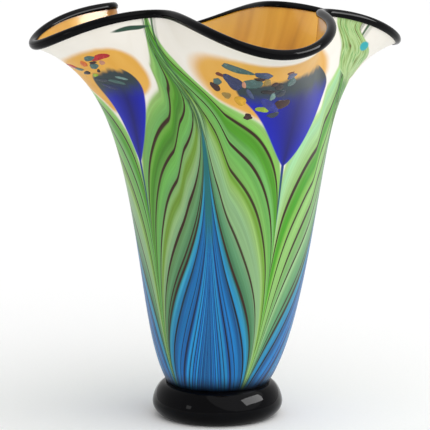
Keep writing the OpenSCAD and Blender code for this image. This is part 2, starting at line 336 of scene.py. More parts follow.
@dataclass(frozen=True)
class Wall:
    """Lays meshes on the wall of the vase."""

    form: VaseForm = field(default_factory=VaseForm)
    plan: FeatherPlan = field(default_factory=FeatherPlan)
    columns_per_eye: int = 64
    feather_t: float = 0.0008
    casing_t: float = 0.002
    lining_t: float = 0.002
    floor_crowding: float = 1.5

    def zone_edges(self, turn: np.ndarray) -> list[np.ndarray]:
        """Gives the levels between the zones, from the seat to the lip."""
        plan = self.plan
        return [
            np.zeros_like(turn), plan.blue_top(turn), plan.green_top(turn),
            plan.cobalt_top(turn), plan.halo_top(turn), np.ones_like(turn),
        ]

    def row_level(self, turn: np.ndarray, row: np.ndarray) -> np.ndarray:
        """Gives the level of a row of mesh, whose rows follow the zones."""
        edges = self.zone_edges(turn)
        level = np.zeros_like(turn)
        for index, zone in enumerate(Zone):
            part = np.clip((row - first_row(zone)) / zone.rows, 0, 1)
            level += part * (edges[index + 1] - edges[index])
        return level

    def new_sheet(
        self, mesh: bmesh.types.BMesh, turns: tuple[float, float], rows: tuple[int, int]
    ) -> list[bmesh.types.BMVert]:
        """Adds a sheet on the outside of the wall, with its rows along the pattern.

        Args:
            mesh: The mesh that takes the sheet.
            turns: First and last turn.
            rows: First and last row.

        Returns:
            The new vertices.
        """
        columns = round((turns[1] - turns[0]) * self.columns_per_eye)
        made = bmesh.ops.create_grid(
            mesh, x_segments=columns, y_segments=rows[1] - rows[0], size=1.0
        )["verts"]
        place = (np.array([vert.co[:2] for vert in made]) + 1) / 2
        turn = turns[0] + np.round(place[:, 0] * columns) / self.columns_per_eye
        row = rows[0] + np.round(place[:, 1] * (rows[1] - rows[0]))
        self.lay(mesh, made, turn, self.row_level(turn, row), np.zeros_like(turn))
        row_layer = mesh.verts.layers.float[ROW]
        for vert, number in zip(made, row):
            vert[row_layer] = number
        return made

    def lay(
        self, mesh: bmesh.types.BMesh, verts: list[bmesh.types.BMVert],
        turn: np.ndarray, level: np.ndarray, depth: np.ndarray,
    ) -> None:
        """Moves vertices to their places in the wall, and notes the places on them.

        Args:
            mesh: The mesh that holds the vertices.
            verts: The vertices to move.
            turn: Turn of each vertex.
            level: Level of each vertex.
            depth: Depth of each vertex in the wall.
        """
        layers = [mesh.verts.layers.float[name] for name in (TURN, LEVEL, DEPTH)]
        azimuth = self.plan.azimuth(turn, level)
        places = self.form.layer(azimuth, self.form.height(level), depth)
        for index, vert in enumerate(verts):
            vert.co = places[index]
            vert[layers[0]] = turn[index]
            vert[layers[1]] = level[index]
            vert[layers[2]] = depth[index]

    def new_inside(
        self, mesh: bmesh.types.BMesh, rows: int, floor: tuple[float, float], depth: float
    ) -> None:
        """Adds the inside of a layer, from its floor to the lip.

        Args:
            mesh: The mesh that takes the wall.
            rows: Rows of faces.
            floor: Height of the floor, and the radius that rounds it into the wall.
            depth: Depth in the wall.
        """
        eyes = len(self.plan.eye_azimuths)
        columns = eyes * self.columns_per_eye
        made = bmesh.ops.create_grid(
            mesh, x_segments=columns, y_segments=rows, size=1.0
        )["verts"]
        place = (np.array([vert.co[:2] for vert in made]) + 1) / 2
        turn = np.round(place[:, 0] * columns) / self.columns_per_eye
        floor_z, round_r = floor
        rise = (self.form.lip_z - floor_z) * place[:, 1] ** self.floor_crowding
        left = np.clip(1 - rise / round_r, 0, 1) if round_r else np.zeros_like(rise)
        depths = depth + round_r * (1 - np.sqrt(1 - left ** 2))
        level = (floor_z + rise - self.form.seat_z) / (self.form.lip_z - self.form.seat_z)
        self.lay(mesh, made, turn, level, depths)
        bmesh.ops.remove_doubles(mesh, verts=made, dist=MERGE_DISTANCE)

    def sink(
        self, mesh: bmesh.types.BMesh, faces: list[bmesh.types.BMFace], depth: float
    ) -> None:
        """Extrudes faces into the wall, to a depth."""
        made = bmesh.ops.extrude_face_region(mesh, geom=faces)["geom"]
        verts = [item for item in made if isinstance(item, bmesh.types.BMVert)]
        turn_layer = mesh.verts.layers.float[TURN]
        level_layer = mesh.verts.layers.float[LEVEL]
        turn = np.array([vert[turn_layer] for vert in verts])
        level = np.array([vert[level_layer] for vert in verts])
        self.lay(mesh, verts, turn, level, np.full_like(turn, depth))


def write_pattern_map(mesh: bmesh.types.BMesh, eyes: int) -> None:
    """Writes each vertex's turn and level to the piece's own map.

    Args:
        mesh: The mesh, whose vertices hold their places.
        eyes: The number of turns once round the vase.
    """
    turn_layer = mesh.verts.layers.float[TURN]
    level_layer = mesh.verts.layers.float[LEVEL]
    uv_layer = mesh.loops.layers.uv[PATTERN_MAP]
    for face in mesh.faces:
        turns = [loop.vert[turn_layer] for loop in face.loops]
        crosses = max(turns) - min(turns) > eyes / 2
        for loop, turn in zip(face.loops, turns):
            if crosses and turn < eyes / 2:
                turn += eyes
            loop[uv_layer].uv = (turn / eyes, loop.vert[level_layer])


def smooth_along_wall(mesh: bpy.types.Mesh, wall: Wall) -> None:
    """Gives the faces that lie along the wall the wall's own direction.

    Args:
        mesh: The finished mesh, with each vertex's place in its attributes.
        wall: The wall that it lies in.
    """
    places = {}
    for name in (TURN, LEVEL, DEPTH):
        places[name] = np.empty(len(mesh.vertices), dtype=np.float32)
        mesh.attributes[name].data.foreach_get("value", places[name])
    turn, level = places[TURN].astype(float), places[LEVEL].astype(float)
    outward = wall.form.outward(
        wall.plan.azimuth(turn, level), wall.form.height(level), levelled=False
    )
    corner_vert = np.empty(len(mesh.loops), dtype=np.int32)
    mesh.loops.foreach_get("vertex_index", corner_vert)
    first_corner = np.empty(len(mesh.polygons), dtype=np.int32)
    mesh.polygons.foreach_get("loop_start", first_corner)
    corners = np.empty(len(mesh.polygons), dtype=np.int32)
    mesh.polygons.foreach_get("loop_total", corners)
    facing = np.empty(3 * len(mesh.polygons), dtype=np.float32)
    mesh.polygons.foreach_get("normal", facing)
    side = np.einsum("ij,ij->i", outward[corner_vert[first_corner]], facing.reshape(-1, 3))
    depths = places[DEPTH][corner_vert]
    spread = (np.maximum.reduceat(depths, first_corner)
              - np.minimum.reduceat(depths, first_corner))
    sign = np.where((spread < MERGE_DISTANCE) & (np.abs(side) > 0.5), np.sign(side), 0.0)
    normals = outward[corner_vert] * np.repeat(sign, corners)[:, None]
    mesh.normals_split_custom_set(normals.tolist())


def close_layer(mesh: bmesh.types.BMesh, outside: set[bmesh.types.BMEdge]) -> None:
    """Joins the outside and the inside of a layer at the lip, and closes their floors.

    Args:
        mesh: The mesh, with both sides of the layer in it.
        outside: The open edges of the outside.
    """
    level_layer = mesh.verts.layers.float[LEVEL]
    open_edges = [edge for edge in mesh.edges if edge.is_boundary]
    lip = [edge for edge in open_edges if edge.verts[0][level_layer] > 0.5]
    floors = [edge for edge in open_edges if edge.verts[0][level_layer] < 0.5]
    bmesh.ops.bridge_loops(mesh, edges=lip)
    under = [edge for edge in floors if edge in outside]
    inner = [edge for edge in floors if edge not in outside]
    bmesh.ops.holes_fill(mesh, edges=under)
    bmesh.ops.holes_fill(mesh, edges=inner)
    bmesh.ops.recalc_face_normals(mesh, faces=mesh.faces)


def make_object(mesh: bmesh.types.BMesh, name: str) -> bpy.types.Object:
    """Turns a bmesh into an object at the origin, and frees it.

    Args:
        mesh: The finished bmesh.
        name: Name of the object.

    Returns:
        The new object, in the scene.
    """
    data = bpy.data.meshes.new(name)
    mesh.to_mesh(data)
    mesh.free()
    for face in data.polygons:
        face.use_smooth = True
    piece = bpy.data.objects.new(name, data)
    bpy.context.scene.collection.objects.link(piece)
    return piece


def settle(
    piece: bpy.types.Object, node: str, material: bpy.types.Material
) -> None:
    """Dresses a piece, fastens it to the body and lets it stand for its node.

    Args:
        piece: The finished piece.
        node: The node that it stands for.
        material: The piece's material.
    """
    piece.data.materials.append(material)
    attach(piece, "root")
    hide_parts(node)
    LOG.info("%s stands for %s: %d faces", piece.name, node, len(piece.data.polygons))


# --------------------------------------------------------------------------- shader wiring


@dataclass(frozen=True)
class Wiring:
    """Adds and joins the nodes of one shader tree."""

    tree: bpy.types.NodeTree

    def add(self, kind: str, **settings: object) -> bpy.types.Node:
        """Adds a node and sets its properties."""
        node = self.tree.nodes.new(kind)
        for name, value in settings.items():
            setattr(node, name, value)
        return node

    def feed(self, socket: Socket, value: object) -> None:
        """Links a socket to another, or sets its value."""
        if isinstance(value, Socket):
            self.tree.links.new(value, socket)
        else:
            socket.default_value = value

    def math(self, operation: str, *values: object, clamp: bool = False) -> Socket:
        """Works out one step of arithmetic.

        Args:
            operation: Name of the operation.
            values: Sockets or numbers, in the operation's own order.
            clamp: Whether the result stays between 0 and 1.

        Returns:
            The result's socket.
        """
        node = self.add("ShaderNodeMath", operation=operation, use_clamp=clamp)
        for socket, value in zip(node.inputs, values):
            self.feed(socket, value)
        return node.outputs[0]

    def times(self, first: object, second: object, clamp: bool = False) -> Socket:
        """Multiplies two values."""
        return self.math("MULTIPLY", first, second, clamp=clamp)

    def over(self, first: object, second: object, clamp: bool = False) -> Socket:
        """Divides the first value by the second."""
        return self.math("DIVIDE", first, second, clamp=clamp)

    def less(self, first: object, second: object, clamp: bool = False) -> Socket:
        """Takes the second value away from the first."""
        return self.math("SUBTRACT", first, second, clamp=clamp)

    def line(self, value: object, slope: object, start: object) -> Socket:
        """Gives a value times a slope, from a start."""
        return self.math("MULTIPLY_ADD", value, slope, start)

    def ring(self, share: object) -> tuple[Socket, Socket]:
        """Gives the place on a circle of a share of the way round."""
        angle = self.times(share, math.tau)
        return self.math("COSINE", angle), self.math("SINE", angle)

    def stretch(self, vector: object, factors: tuple[float, float, float]) -> Socket:
        """Stretches a vector along its three directions."""
        node = self.add("ShaderNodeVectorMath", operation="MULTIPLY")
        self.feed(node.inputs[0], vector)
        self.feed(node.inputs[1], factors)
        return node.outputs[0]

    def spot(self) -> Socket:
        """Gives the place on the object itself."""
        return self.add("ShaderNodeTexCoord").outputs["Object"]

    def mottle(
        self, group: bpy.types.NodeTree, spot: object, scale: float, depth: float = 1.0
    ) -> Socket:
        """Places the mottle group, with its own scale and depth."""
        return place_group(self, group, Vector=spot, Scale=scale, Depth=depth).outputs[0]

    def bump(
        self, shader: bpy.types.Node, height: object, distance: float, strength: float
    ) -> None:
        """Raises a shader's surface by a height.

        Args:
            shader: The shader, whose normal is fed.
            height: The height, as a multiple of the distance.
            distance: What a height of 1 comes to, in metres.
            strength: How much of the relief shows.
        """
        node = self.add("ShaderNodeBump")
        for name, value in (("Height", height), ("Distance", distance), ("Strength", strength)):
            self.feed(node.inputs[name], value)
        self.feed(shader.inputs["Normal"], node.outputs[0])

    def total(self, *values: object) -> Socket:
        """Adds up sockets and numbers."""
        result = values[0]
        for value in values[1:]:
            result = self.math("ADD", result, value)
        return result

    def rise(self, value: object, low: object, high: object) -> Socket:
        """Gives a smooth mask that is 0 at one value and 1 at another."""
        node = self.add("ShaderNodeMapRange", interpolation_type="SMOOTHSTEP")
        for socket, part in zip(node.inputs, (value, low, high, 0.0, 1.0)):
            self.feed(socket, part)
        return node.outputs[0]

    def ramp(self, value: object, low: float, high: float, stops: Stops) -> Socket:
        """Colours a value.

        Args:
            value: The value to colour.
            low: Value at the ramp's start.
            high: Value at the ramp's end.
            stops: The values that have a colour of their own, with display colours.

        Returns:
            The colour's socket.
        """
        place = self.over(self.less(value, low), high - low)
        node = self.add("ShaderNodeValToRGB")
        elements = node.color_ramp.elements
        while len(elements) < len(stops):
            elements.new(1.0)
        for element, (position, shade) in zip(elements, stops):
            element.position = (position - low) / (high - low)
            element.color = colour(*shade)
        self.feed(node.inputs[0], place)
        return node.outputs[0]

    def mix(self, factor: object, first: object, second: object) -> Socket:
        """Mixes two colours, from the first at 0 to the second at 1."""
        node = self.add("ShaderNodeMix", data_type="RGBA")
        sockets = [item for item in node.inputs if item.enabled]
        for socket, value in zip(sockets, (factor, first, second)):
            self.feed(socket, value)
        return next(item for item in node.outputs if item.enabled)

    def noise(self, vector: object, scale: float, detail: float = 2.0) -> Socket:
        """Gives soft noise from 0 to 1."""
        node = self.add("ShaderNodeTexNoise")
        self.feed(node.inputs["Vector"], vector)
        self.feed(node.inputs["Scale"], scale)
        self.feed(node.inputs["Detail"], detail)
        return node.outputs[0]

    def vector(self, x: object, y: object, z: object) -> Socket:
        """Joins three numbers to a vector."""
        node = self.add("ShaderNodeCombineXYZ")
        for socket, value in zip(node.inputs, (x, y, z)):
            self.feed(socket, value)
        return node.outputs[0]

    def parts(self, vector: object) -> list[Socket]:
        """Splits a vector into its three numbers."""
        node = self.add("ShaderNodeSeparateXYZ")
        self.feed(node.inputs[0], vector)
        return list(node.outputs)


def new_group(
    name: str, inputs: dict[str, str], outputs: dict[str, str]
) -> tuple[bpy.types.NodeTree, Wiring, bpy.types.Node, bpy.types.Node]:
    """Starts a shader node group.

    Args:
        name: Name of the group.
        inputs: Name and socket type of each input.
        outputs: Name and socket type of each output.

    Returns:
        The group, its wiring, its input node and its output node.
    """
    tree = bpy.data.node_groups.new(name, "ShaderNodeTree")
    for label, kind in inputs.items():
        tree.interface.new_socket(name=label, in_out="INPUT", socket_type=kind)
    for label, kind in outputs.items():
        tree.interface.new_socket(name=label, in_out="OUTPUT", socket_type=kind)
    wiring = Wiring(tree)
    return tree, wiring, wiring.add("NodeGroupInput"), wiring.add("NodeGroupOutput")


def place_group(
    wiring: Wiring, tree: bpy.types.NodeTree, **values: object
) -> bpy.types.Node:
    """Places a node group in a tree, with its own values."""
    node = wiring.add("ShaderNodeGroup", node_tree=tree)
    for name, value in values.items():
        wiring.feed(node.inputs[name], value)
    return node


def new_material(name: str) -> tuple[bpy.types.Material, Wiring, bpy.types.Node]:
    """Starts a material, and gives it with its wiring and its shader."""
    material = bpy.data.materials.new(name)
    material.use_nodes = True
    return material, Wiring(material.node_tree), material.node_tree.nodes["Principled BSDF"]


NUMBER = "NodeSocketFloat"
VECTOR = "NodeSocketVector"
SHADE = "NodeSocketColor"


def build_mottle() -> bpy.types.NodeTree:
    """Builds the cloudy unevenness that melted glass has.

    Returns:
        A group that turns a vector into an uneven value round 1.
    """
    tree, wiring, source, result = new_group(
        "glass_mottle", {"Vector": VECTOR, "Scale": NUMBER, "Depth": NUMBER}, {"Value": NUMBER}
    )
    noise = wiring.noise(source.outputs["Vector"], 1.0, 3.0)
    wiring.feed(noise.node.inputs["Scale"], source.outputs["Scale"])
    swing = wiring.times(wiring.less(noise, 0.5), source.outputs["Depth"])
    wiring.feed(result.inputs["Value"], wiring.total(swing, 1.0))
    return tree


@dataclass(frozen=True)
class CombedPattern:
    """The combed trails, the feather eyes and the plain opal between them.

    The flow is the pattern's own height: 0 to 1 is blue, 1 to 3 is green and above 3 is
    opal, and the trails run along lines of equal flow.
    """

    plan: FeatherPlan = field(default_factory=FeatherPlan)
    flow_low: float = -2.6
    flow_high: float = 3.2
    streaks: tuple[float, float, float] = (15.0, 2.0, 2.0)
    fine_streaks: tuple[float, float, float] = (44.0, 3.0, 3.0)
    round_scale: float = 0.8
    waver: float = 0.012
    roughness: tuple[float, float] = (0.14, 0.3)
    # Levels where the painted shade above the foot starts and where it is full
    foot_shadow: tuple[float, float] = (0.075, 0.02)
    comb_pull: float = 0.045
    comb_reach: float = 0.09
    halo_power: float = 2.6
    tip_half_wide: float = 0.004
    trail_swell: float = 1.0
    deep_spacing: float = 0.27

    # Levels of the flow before combing, with how far each is combed down and up
    flow_levels: tuple[tuple[float, float, float], ...] = (
        (0.041, 0.2, 0.13), (0.295, 0.09, 0.12), (0.64, 0.16, 0.06), (0.83, 0.075, 0.052)
    )

    # Trails of dark glass on the three kinds of half feather: flow and width
    left_trails: tuple[tuple[float, float], ...] = (
        (1.03, 0.05), (1.14, 0.035), (1.48, 0.05), (2.03, 0.045), (2.37, 0.04), (2.73, 0.045)
    )
    right_trails: tuple[tuple[float, float], ...] = (
        (1.04, 0.05), (1.43, 0.045), (2.16, 0.045), (2.51, 0.04), (2.86, 0.035)
    )
    next_trails: tuple[tuple[float, float], ...] = (
        (1.02, 0.05), (1.15, 0.03), (1.56, 0.04), (1.86, 0.05), (2.18, 0.04), (2.58, 0.055)
    )
    blue_trails: tuple[tuple[float, float], ...] = (
        (-0.62, 0.03), (-0.42, 0.035), (-0.24, 0.03), (-0.08, 0.035), (0.1, 0.035),
        (0.36, 0.045), (0.52, 0.02), (0.79, 0.035)
    )

    # Colours along the flow
    blues: Stops = field(default_factory=lambda: [
        (-2.6, (4, 68, 126)), (-2.1, (16, 122, 188)), (-1.7, (4, 76, 144)),
        (-1.3, (18, 126, 192)), (-0.95, (4, 76, 142)), (-0.7, (18, 124, 190)),
        (-0.5, (6, 92, 168)), (-0.33, (22, 140, 206)), (-0.15, (8, 102, 180)),
        (0.02, (24, 138, 200)), (0.22, (26, 136, 196)), (0.3, (4, 80, 150)),
        (0.45, (10, 108, 180)), (0.62, (8, 114, 180)), (0.72, (6, 76, 132)),
        (0.86, (30, 136, 184)), (0.95, (50, 148, 176)), (0.99, (34, 106, 98)),
        (1.05, (36, 88, 64)),
    ])
    left_greens: Stops = field(default_factory=lambda: [
        (1.0, (40, 96, 70)), (1.1, (64, 114, 78)), (1.3, (92, 142, 94)), (1.42, (88, 130, 76)),
        (1.55, (120, 160, 114)), (1.68, (136, 172, 112)), (1.78, (108, 146, 50)),
        (1.86, (104, 142, 44)), (1.94, (126, 168, 98)), (2.1, (98, 158, 84)),
        (2.25, (104, 170, 76)), (2.42, (92, 150, 60)), (2.5, (66, 126, 34)),
        (2.6, (74, 140, 30)), (2.68, (106, 164, 60)), (2.8, (100, 158, 84)),
        (2.92, (118, 170, 84)), (3.02, (150, 186, 108)), (3.1, (176, 194, 140)),
    ])
    right_greens: Stops = field(default_factory=lambda: [
        (1.0, (36, 92, 72)), (1.12, (66, 118, 80)), (1.3, (90, 142, 100)), (1.5, (130, 168, 116)),
        (1.75, (132, 172, 122)), (1.95, (138, 176, 96)), (2.06, (104, 150, 40)),
        (2.22, (116, 172, 84)), (2.4, (100, 164, 76)), (2.6, (108, 172, 90)),
        (2.7, (74, 146, 32)), (2.79, (70, 142, 26)), (2.9, (122, 184, 78)),
        (3.0, (134, 186, 96)), (3.1, (160, 200, 122)),
    ])
    next_greens: Stops = field(default_factory=lambda: [
        (1.0, (44, 100, 84)), (1.12, (82, 140, 96)), (1.35, (104, 160, 106)),
        (1.5, (140, 182, 126)), (1.7, (110, 162, 92)), (1.95, (130, 178, 96)),
        (2.1, (140, 190, 106)), (2.3, (112, 174, 62)), (2.38, (60, 148, 20)),
        (2.48, (72, 150, 26)), (2.64, (140, 184, 104)), (2.78, (156, 198, 134)),
        (2.9, (148, 200, 150)), (3.0, (166, 204, 128)), (3.1, (190, 212, 156)),
    ])
    trail_brown: tuple[int, int, int] = (52, 24, 12)
    trail_navy: tuple[int, int, int] = (8, 16, 30)
    opal: tuple[int, int, int] = (250, 246, 238)
    opal_shade: tuple[int, int, int] = (238, 232, 220)
    teal: tuple[int, int, int] = (26, 108, 112)
    amber: tuple[int, int, int] = (236, 184, 88)
    amber_deep: tuple[int, int, int] = (222, 160, 56)
    slate: tuple[int, int, int] = (48, 62, 66)
    cobalt: tuple[int, int, int] = (10, 12, 112)
    cobalt_bright: tuple[int, int, int] = (12, 26, 182)
    # Colour of the painted shade that darkens the wall just above the foot
    painted_foot_shade: tuple[int, int, int] = (8, 12, 20)
    tip_blue: tuple[int, int, int] = (20, 70, 104)
    strand_green: tuple[int, int, int] = (58, 98, 58)
    turquoise: tuple[int, int, int] = (30, 172, 180)
    bead: tuple[float, float] = (0.556, 0.952)
    bead_size: tuple[float, float] = (0.02, 0.012)
    tail: tuple[float, float] = (3.37, 0.984)
    tail_size: tuple[float, float] = (0.14, 0.005)
    tail_green: tuple[int, int, int] = (40, 74, 58)
    band_greens: Stops = field(default_factory=lambda: [
        (0.32, (96, 60, 34)), (0.37, (132, 160, 84)), (0.46, (168, 200, 128)),
        (0.54, (186, 212, 150)), (0.6, (112, 172, 92)), (0.66, (158, 190, 112)),
        (0.71, (104, 70, 38)),
    ])

    def build(self) -> bpy.types.NodeTree:
        """Builds the group that colours every layer of the outside.

        Returns:
            A group that turns the pattern map into a colour, a height and a roughness.
        """
        tree, w, source, result = new_group(
            "combed_feathers", {"Map": VECTOR},
            {"Colour": SHADE, "Height": NUMBER, "Roughness": NUMBER}
        )
        across, level, _ = w.parts(source.outputs["Map"])
        ring = w.ring(across)
        waver = w.noise(w.vector(ring[0], ring[1], w.times(level, 2.0)), 2.2, 1.0)
        level = w.total(level, w.times(w.less(waver, 0.5), self.waver))
        turn = w.times(across, float(len(self.plan.eye_azimuths)))
        reach = self.reach(w, turn)
        flow = self.flow(w, turn, reach, level)
        along = w.vector(
            flow,
            w.times(ring[0], self.round_scale),
            w.times(ring[1], self.round_scale),
        )
        edge = self.green_edge(w, turn, reach)
        base, trails = self.trails(w, turn, w.less(flow, edge), along)
        shade = self.spine(w, base, reach, level)
        shade = self.lip_band(w, shade, turn, level)
        shade = self.eye(w, shade, turn, w.less(flow, edge), level, ring)
        # Painted shade: the wall darkens to near black just above the foot, where body and foot
        # meet
        shade = w.mix(w.rise(level, *self.foot_shadow), shade, colour(*self.painted_foot_shade))
        w.feed(result.inputs["Colour"], shade)
        w.feed(result.inputs["Height"], trails)
        polish = w.noise(w.vector(ring[0], ring[1], w.times(level, 3.0)), 6.0, 3.0)
        w.feed(result.inputs["Roughness"], w.line(polish, *self.roughness))
        return tree

    def reach(self, w: Wiring, turn: Socket) -> Socket:
        """Gives the distance from the nearest eye, from 0 to 1 at the spine."""
        part = w.math("FRACT", turn)
        centred = w.math("ABSOLUTE", w.line(part, 2.0, -1.0))
        return w.less(1.0, centred)

    def nearest_eye(
        self, w: Wiring, turn: Socket
    ) -> tuple[Socket, Socket]:
        """Gives the turn from the nearest eye, and how broad that eye is, from -1 to 1."""
        nearest = w.math("ROUND", turn)
        quarter = math.tau / len(self.plan.eye_azimuths)
        broad = w.math("COSINE", w.line(nearest, quarter, -quarter / 2))
        return w.less(turn, nearest), broad

    def green_edge(
        self, w: Wiring, turn: Socket, reach: Socket
    ) -> Socket:
        """Gives how much further the green runs in the flow beside a broad eye."""
        _, broad = self.nearest_eye(w, turn)
        near = w.math("POWER", w.less(1.0, reach), 2.0)
        return w.times(near, w.line(broad, 0.099, 0.07))

    def flow(
        self, w: Wiring, turn: Socket, reach: Socket,
        level: Socket,
    ) -> Socket:
        """Gives the flow at each place: equal along every trail."""
        plan = self.plan
        fall = w.math("LOGARITHM", w.total(reach, plan.comb_width), math.e)
        gap = w.less(1.0 + plan.comb_width, reach)
        climb = w.times(w.math("LOGARITHM", gap, math.e), -1.0)
        quarter = math.tau / len(plan.eye_azimuths)
        swing = w.line(turn, quarter, -math.radians(plan.tilt_place))
        sag = w.times(w.math("COSINE", swing), -plan.pattern_tilt)
        edges = []
        for start, down, up in self.flow_levels:
            combed = w.line(fall, down, start)
            edges.append(w.total(w.line(climb, up, combed), sag))

        level = w.less(level, self.comb_step(w, turn, reach, level))

        def share(low: Socket, high: Socket) -> Socket:
            """Gives how far the level is from one edge to the next."""
            return w.over(w.less(level, low), w.less(high, low))

        blue = w.math("MINIMUM", share(edges[0], edges[1]), 1.0)
        middle = w.times(share(edges[1], edges[2]), 1.0, clamp=True)
        upper = w.math("MAXIMUM", share(edges[2], edges[3]), 0.0)
        return w.total(blue, middle, upper)

    def comb_step(
        self, w: Wiring, turn: Socket, reach: Socket,
        level: Socket,
    ) -> Socket:
        """Gives how far the trails step up where the comb changed its pull."""
        after_spine = w.math("GREATER_THAN", w.math("FRACT", turn), 0.5)
        place = w.line(after_spine, 0.125, 0.65)
        early = w.rise(reach, w.less(place, self.comb_reach),
                       w.total(place, self.comb_reach))
        change = w.less(early, w.rise(reach, 0.3, 0.95))
        return w.times(change, w.times(w.rise(level, 0.45, 0.62),
                                              self.comb_pull))

    def trail_mask(
        self, w: Wiring, flow: Socket, trails: tuple[tuple[float, float], ...]
    ) -> Socket:
        """Marks thin trails along lines of equal flow."""
        black, white = (0, 0, 0), (255, 255, 255)
        stops = [(self.flow_low, black)]
        last = self.flow_low
        for middle, width in trails:
            low = max(middle - width * self.trail_swell, last)
            last = middle + width * self.trail_swell
            stops += [(low, black), (middle, white), (last, black)]
        return w.rise(w.ramp(flow, self.flow_low, self.flow_high, stops), 0.1, 0.6)

    def deep_trails(self, w: Wiring, flow: Socket) -> Socket:
        """Marks the close trails in the middle of the blue, which the comb drew together."""
        wave = w.math("COSINE", w.times(flow, math.tau / self.deep_spacing))
        return w.times(w.rise(wave, 0.5, 0.95), w.rise(flow, -0.62, -0.76))

    def trails(
        self, w: Wiring, turn: Socket, flow: Socket,
        along: Socket,
    ) -> tuple[Socket, Socket]:
        """Colours the combed blue and green, with their dark trails and fine streaks.

        Args:
            w: The group's wiring.
            turn: Turn at each place.
            flow: Flow at each place.
            along: Vector that changes fast across the trails and slowly along them.

        Returns:
            The colour, and the trails' own mask.
        """
        half = w.math("FLOORED_MODULO", w.math("FLOOR", w.times(turn, 2.0)), 4.0)
        odd = w.math("FLOORED_MODULO", half, 2.0)
        is_left = w.math("COMPARE", half, 2.0, 0.1)
        bent = w.math(
            "ADD", flow,
            w.times(w.less(w.noise(along, 2.2, 1.0), 0.5), 0.05),
        )

        def palette(stops: Stops) -> Socket:
            """Colours the flow in the greens of one kind of half feather."""
            return w.ramp(bent, self.flow_low, self.flow_high, stops)

        greens = w.mix(is_left, palette(self.next_greens), palette(self.left_greens))
        greens = w.mix(odd, greens, palette(self.right_greens))
        in_green = w.rise(bent, 0.985, 1.015)
        shade = w.mix(in_green, palette(self.blues), greens)
        streak = w.noise(w.stretch(along, self.streaks), 1.0, 4.0)
        fine_streak = w.noise(w.stretch(along, self.fine_streaks), 1.0, 3.0)
        depth = w.line(in_green, -0.8, 1.7)
        light = w.total(
            w.times(w.less(streak, 0.5), depth),
            w.times(w.less(fine_streak, 0.5), 0.5),
            w.line(in_green, 0.1, 1.0),
        )
        tint = w.add("ShaderNodeHueSaturation")
        w.feed(tint.inputs["Color"], shade)
        w.feed(tint.inputs["Value"], light)
        w.feed(tint.inputs["Hue"], w.line(fine_streak, 0.03, 0.485))
        opal = w.mix(w.noise(along, 3.0, 2.0), colour(*self.opal), colour(*self.opal_shade))
        shade = w.mix(w.rise(bent, 3.0, 3.07), tint.outputs[0], opal)

        marks = w.mix(
            is_left, self.trail_mask(w, bent, self.next_trails),
            self.trail_mask(w, bent, self.left_trails),
        )
        marks = w.mix(odd, marks, self.trail_mask(w, bent, self.right_trails))
        brown = w.times(marks, w.line(streak, 0.5, 0.76), clamp=True)
        shade = w.mix(brown, shade, colour(*self.trail_brown))
        navy = w.math(
            "MAXIMUM", self.trail_mask(w, bent, self.blue_trails), self.deep_trails(w, bent)
        )
        navy = w.times(navy, w.line(streak, 1.0, 0.45), clamp=True)
        shade = w.mix(navy, shade, colour(*self.trail_navy))
        return shade, w.math("MAXIMUM", brown, navy)

    def spine(
        self, w: Wiring, shade: Socket, reach: Socket,
        level: Socket,
    ) -> Socket:
        """Adds the teal line where the comb climbed, and the one under each eye."""
        width = w.line(level, 0.16, 0.855)
        climbing = w.rise(reach, width, w.total(width, 0.02))
        climbing = w.times(climbing, w.rise(level, 0.4, 0.55))
        climbing = w.times(climbing, w.rise(level, 0.78, 0.68))
        shade = w.mix(climbing, shade, colour(*self.teal))
        thin = w.line(level, 0.1, -0.038)
        falling = w.rise(reach, thin, w.less(thin, 0.014))
        falling = w.times(falling, w.rise(level, 0.42, 0.56))
        falling = w.times(falling, w.rise(level, 0.72, 0.66))
        shade = w.mix(falling, shade, colour(*self.tip_blue))
        strand = w.noise(w.vector(w.times(reach, 60.0), level, 0.0), 1.0, 2.0)
        strand = w.times(w.rise(strand, 0.4, 0.6), w.rise(reach, 0.91, 0.96))
        strand = w.times(strand, w.rise(level, 0.7, 0.78))
        return w.mix(strand, shade, colour(*self.strand_green))

    def lip_band(
        self, w: Wiring, shade: Socket, turn: Socket,
        level: Socket,
    ) -> Socket:
        """Adds the fan of green at the first spine, its bead, and a tail under the lip."""
        eyes = float(len(self.plan.eye_azimuths))
        place = w.math("FLOORED_MODULO", turn, eyes)
        middle = w.line(w.rise(level, 0.93, 0.99), -0.085, 0.54)
        opened = w.line(w.rise(level, 0.86, 0.89), 0.055, 0.035)
        half = w.less(opened, w.times(w.rise(level, 0.93, 0.985), 0.045))
        off = w.over(w.less(place, middle), half)
        side = w.math("ABSOLUTE", off)
        inside = w.times(w.rise(side, 1.1, 0.94), w.rise(level, 0.84, 0.87))
        across = w.vector(w.times(off, 3.4), w.times(level, 9.0), 0.0)
        strands = w.ramp(w.noise(across, 1.5, 3.0), 0.0, 1.0, self.band_greens)
        shade = w.mix(inside, shade, strands)
        tail = self.patch(w, place, level, self.tail, self.tail_size)
        shade = w.mix(tail, shade, colour(*self.tail_green))
        bead = self.patch(w, place, level, self.bead, self.bead_size)
        return w.mix(bead, shade, colour(*self.turquoise))

    def patch(
        self, w: Wiring, place: Socket, level: Socket,
        middle: tuple[float, float], size: tuple[float, float],
    ) -> Socket:
        """Marks a soft oval patch at a turn and a level."""
        across = w.over(w.less(place, middle[0]), size[0])
        upward = w.over(w.less(level, middle[1]), size[1])
        distance = w.total(w.times(across, across), w.times(upward, upward))
        return w.rise(distance, 1.3, 0.6)

    def eye(
        self, w: Wiring, shade: Socket, turn: Socket,
        flow: Socket, level: Socket,
        ring: tuple[Socket, Socket],
    ) -> Socket:
        """Lays the amber halo and the cobalt drop on the opal."""
        off, swing = self.nearest_eye(w, turn)
        cloud = w.noise(w.vector(ring[0], ring[1], w.times(level, 1.6)), 9.0, 3.0)
        soft = w.times(w.less(cloud, 0.5), 0.5)

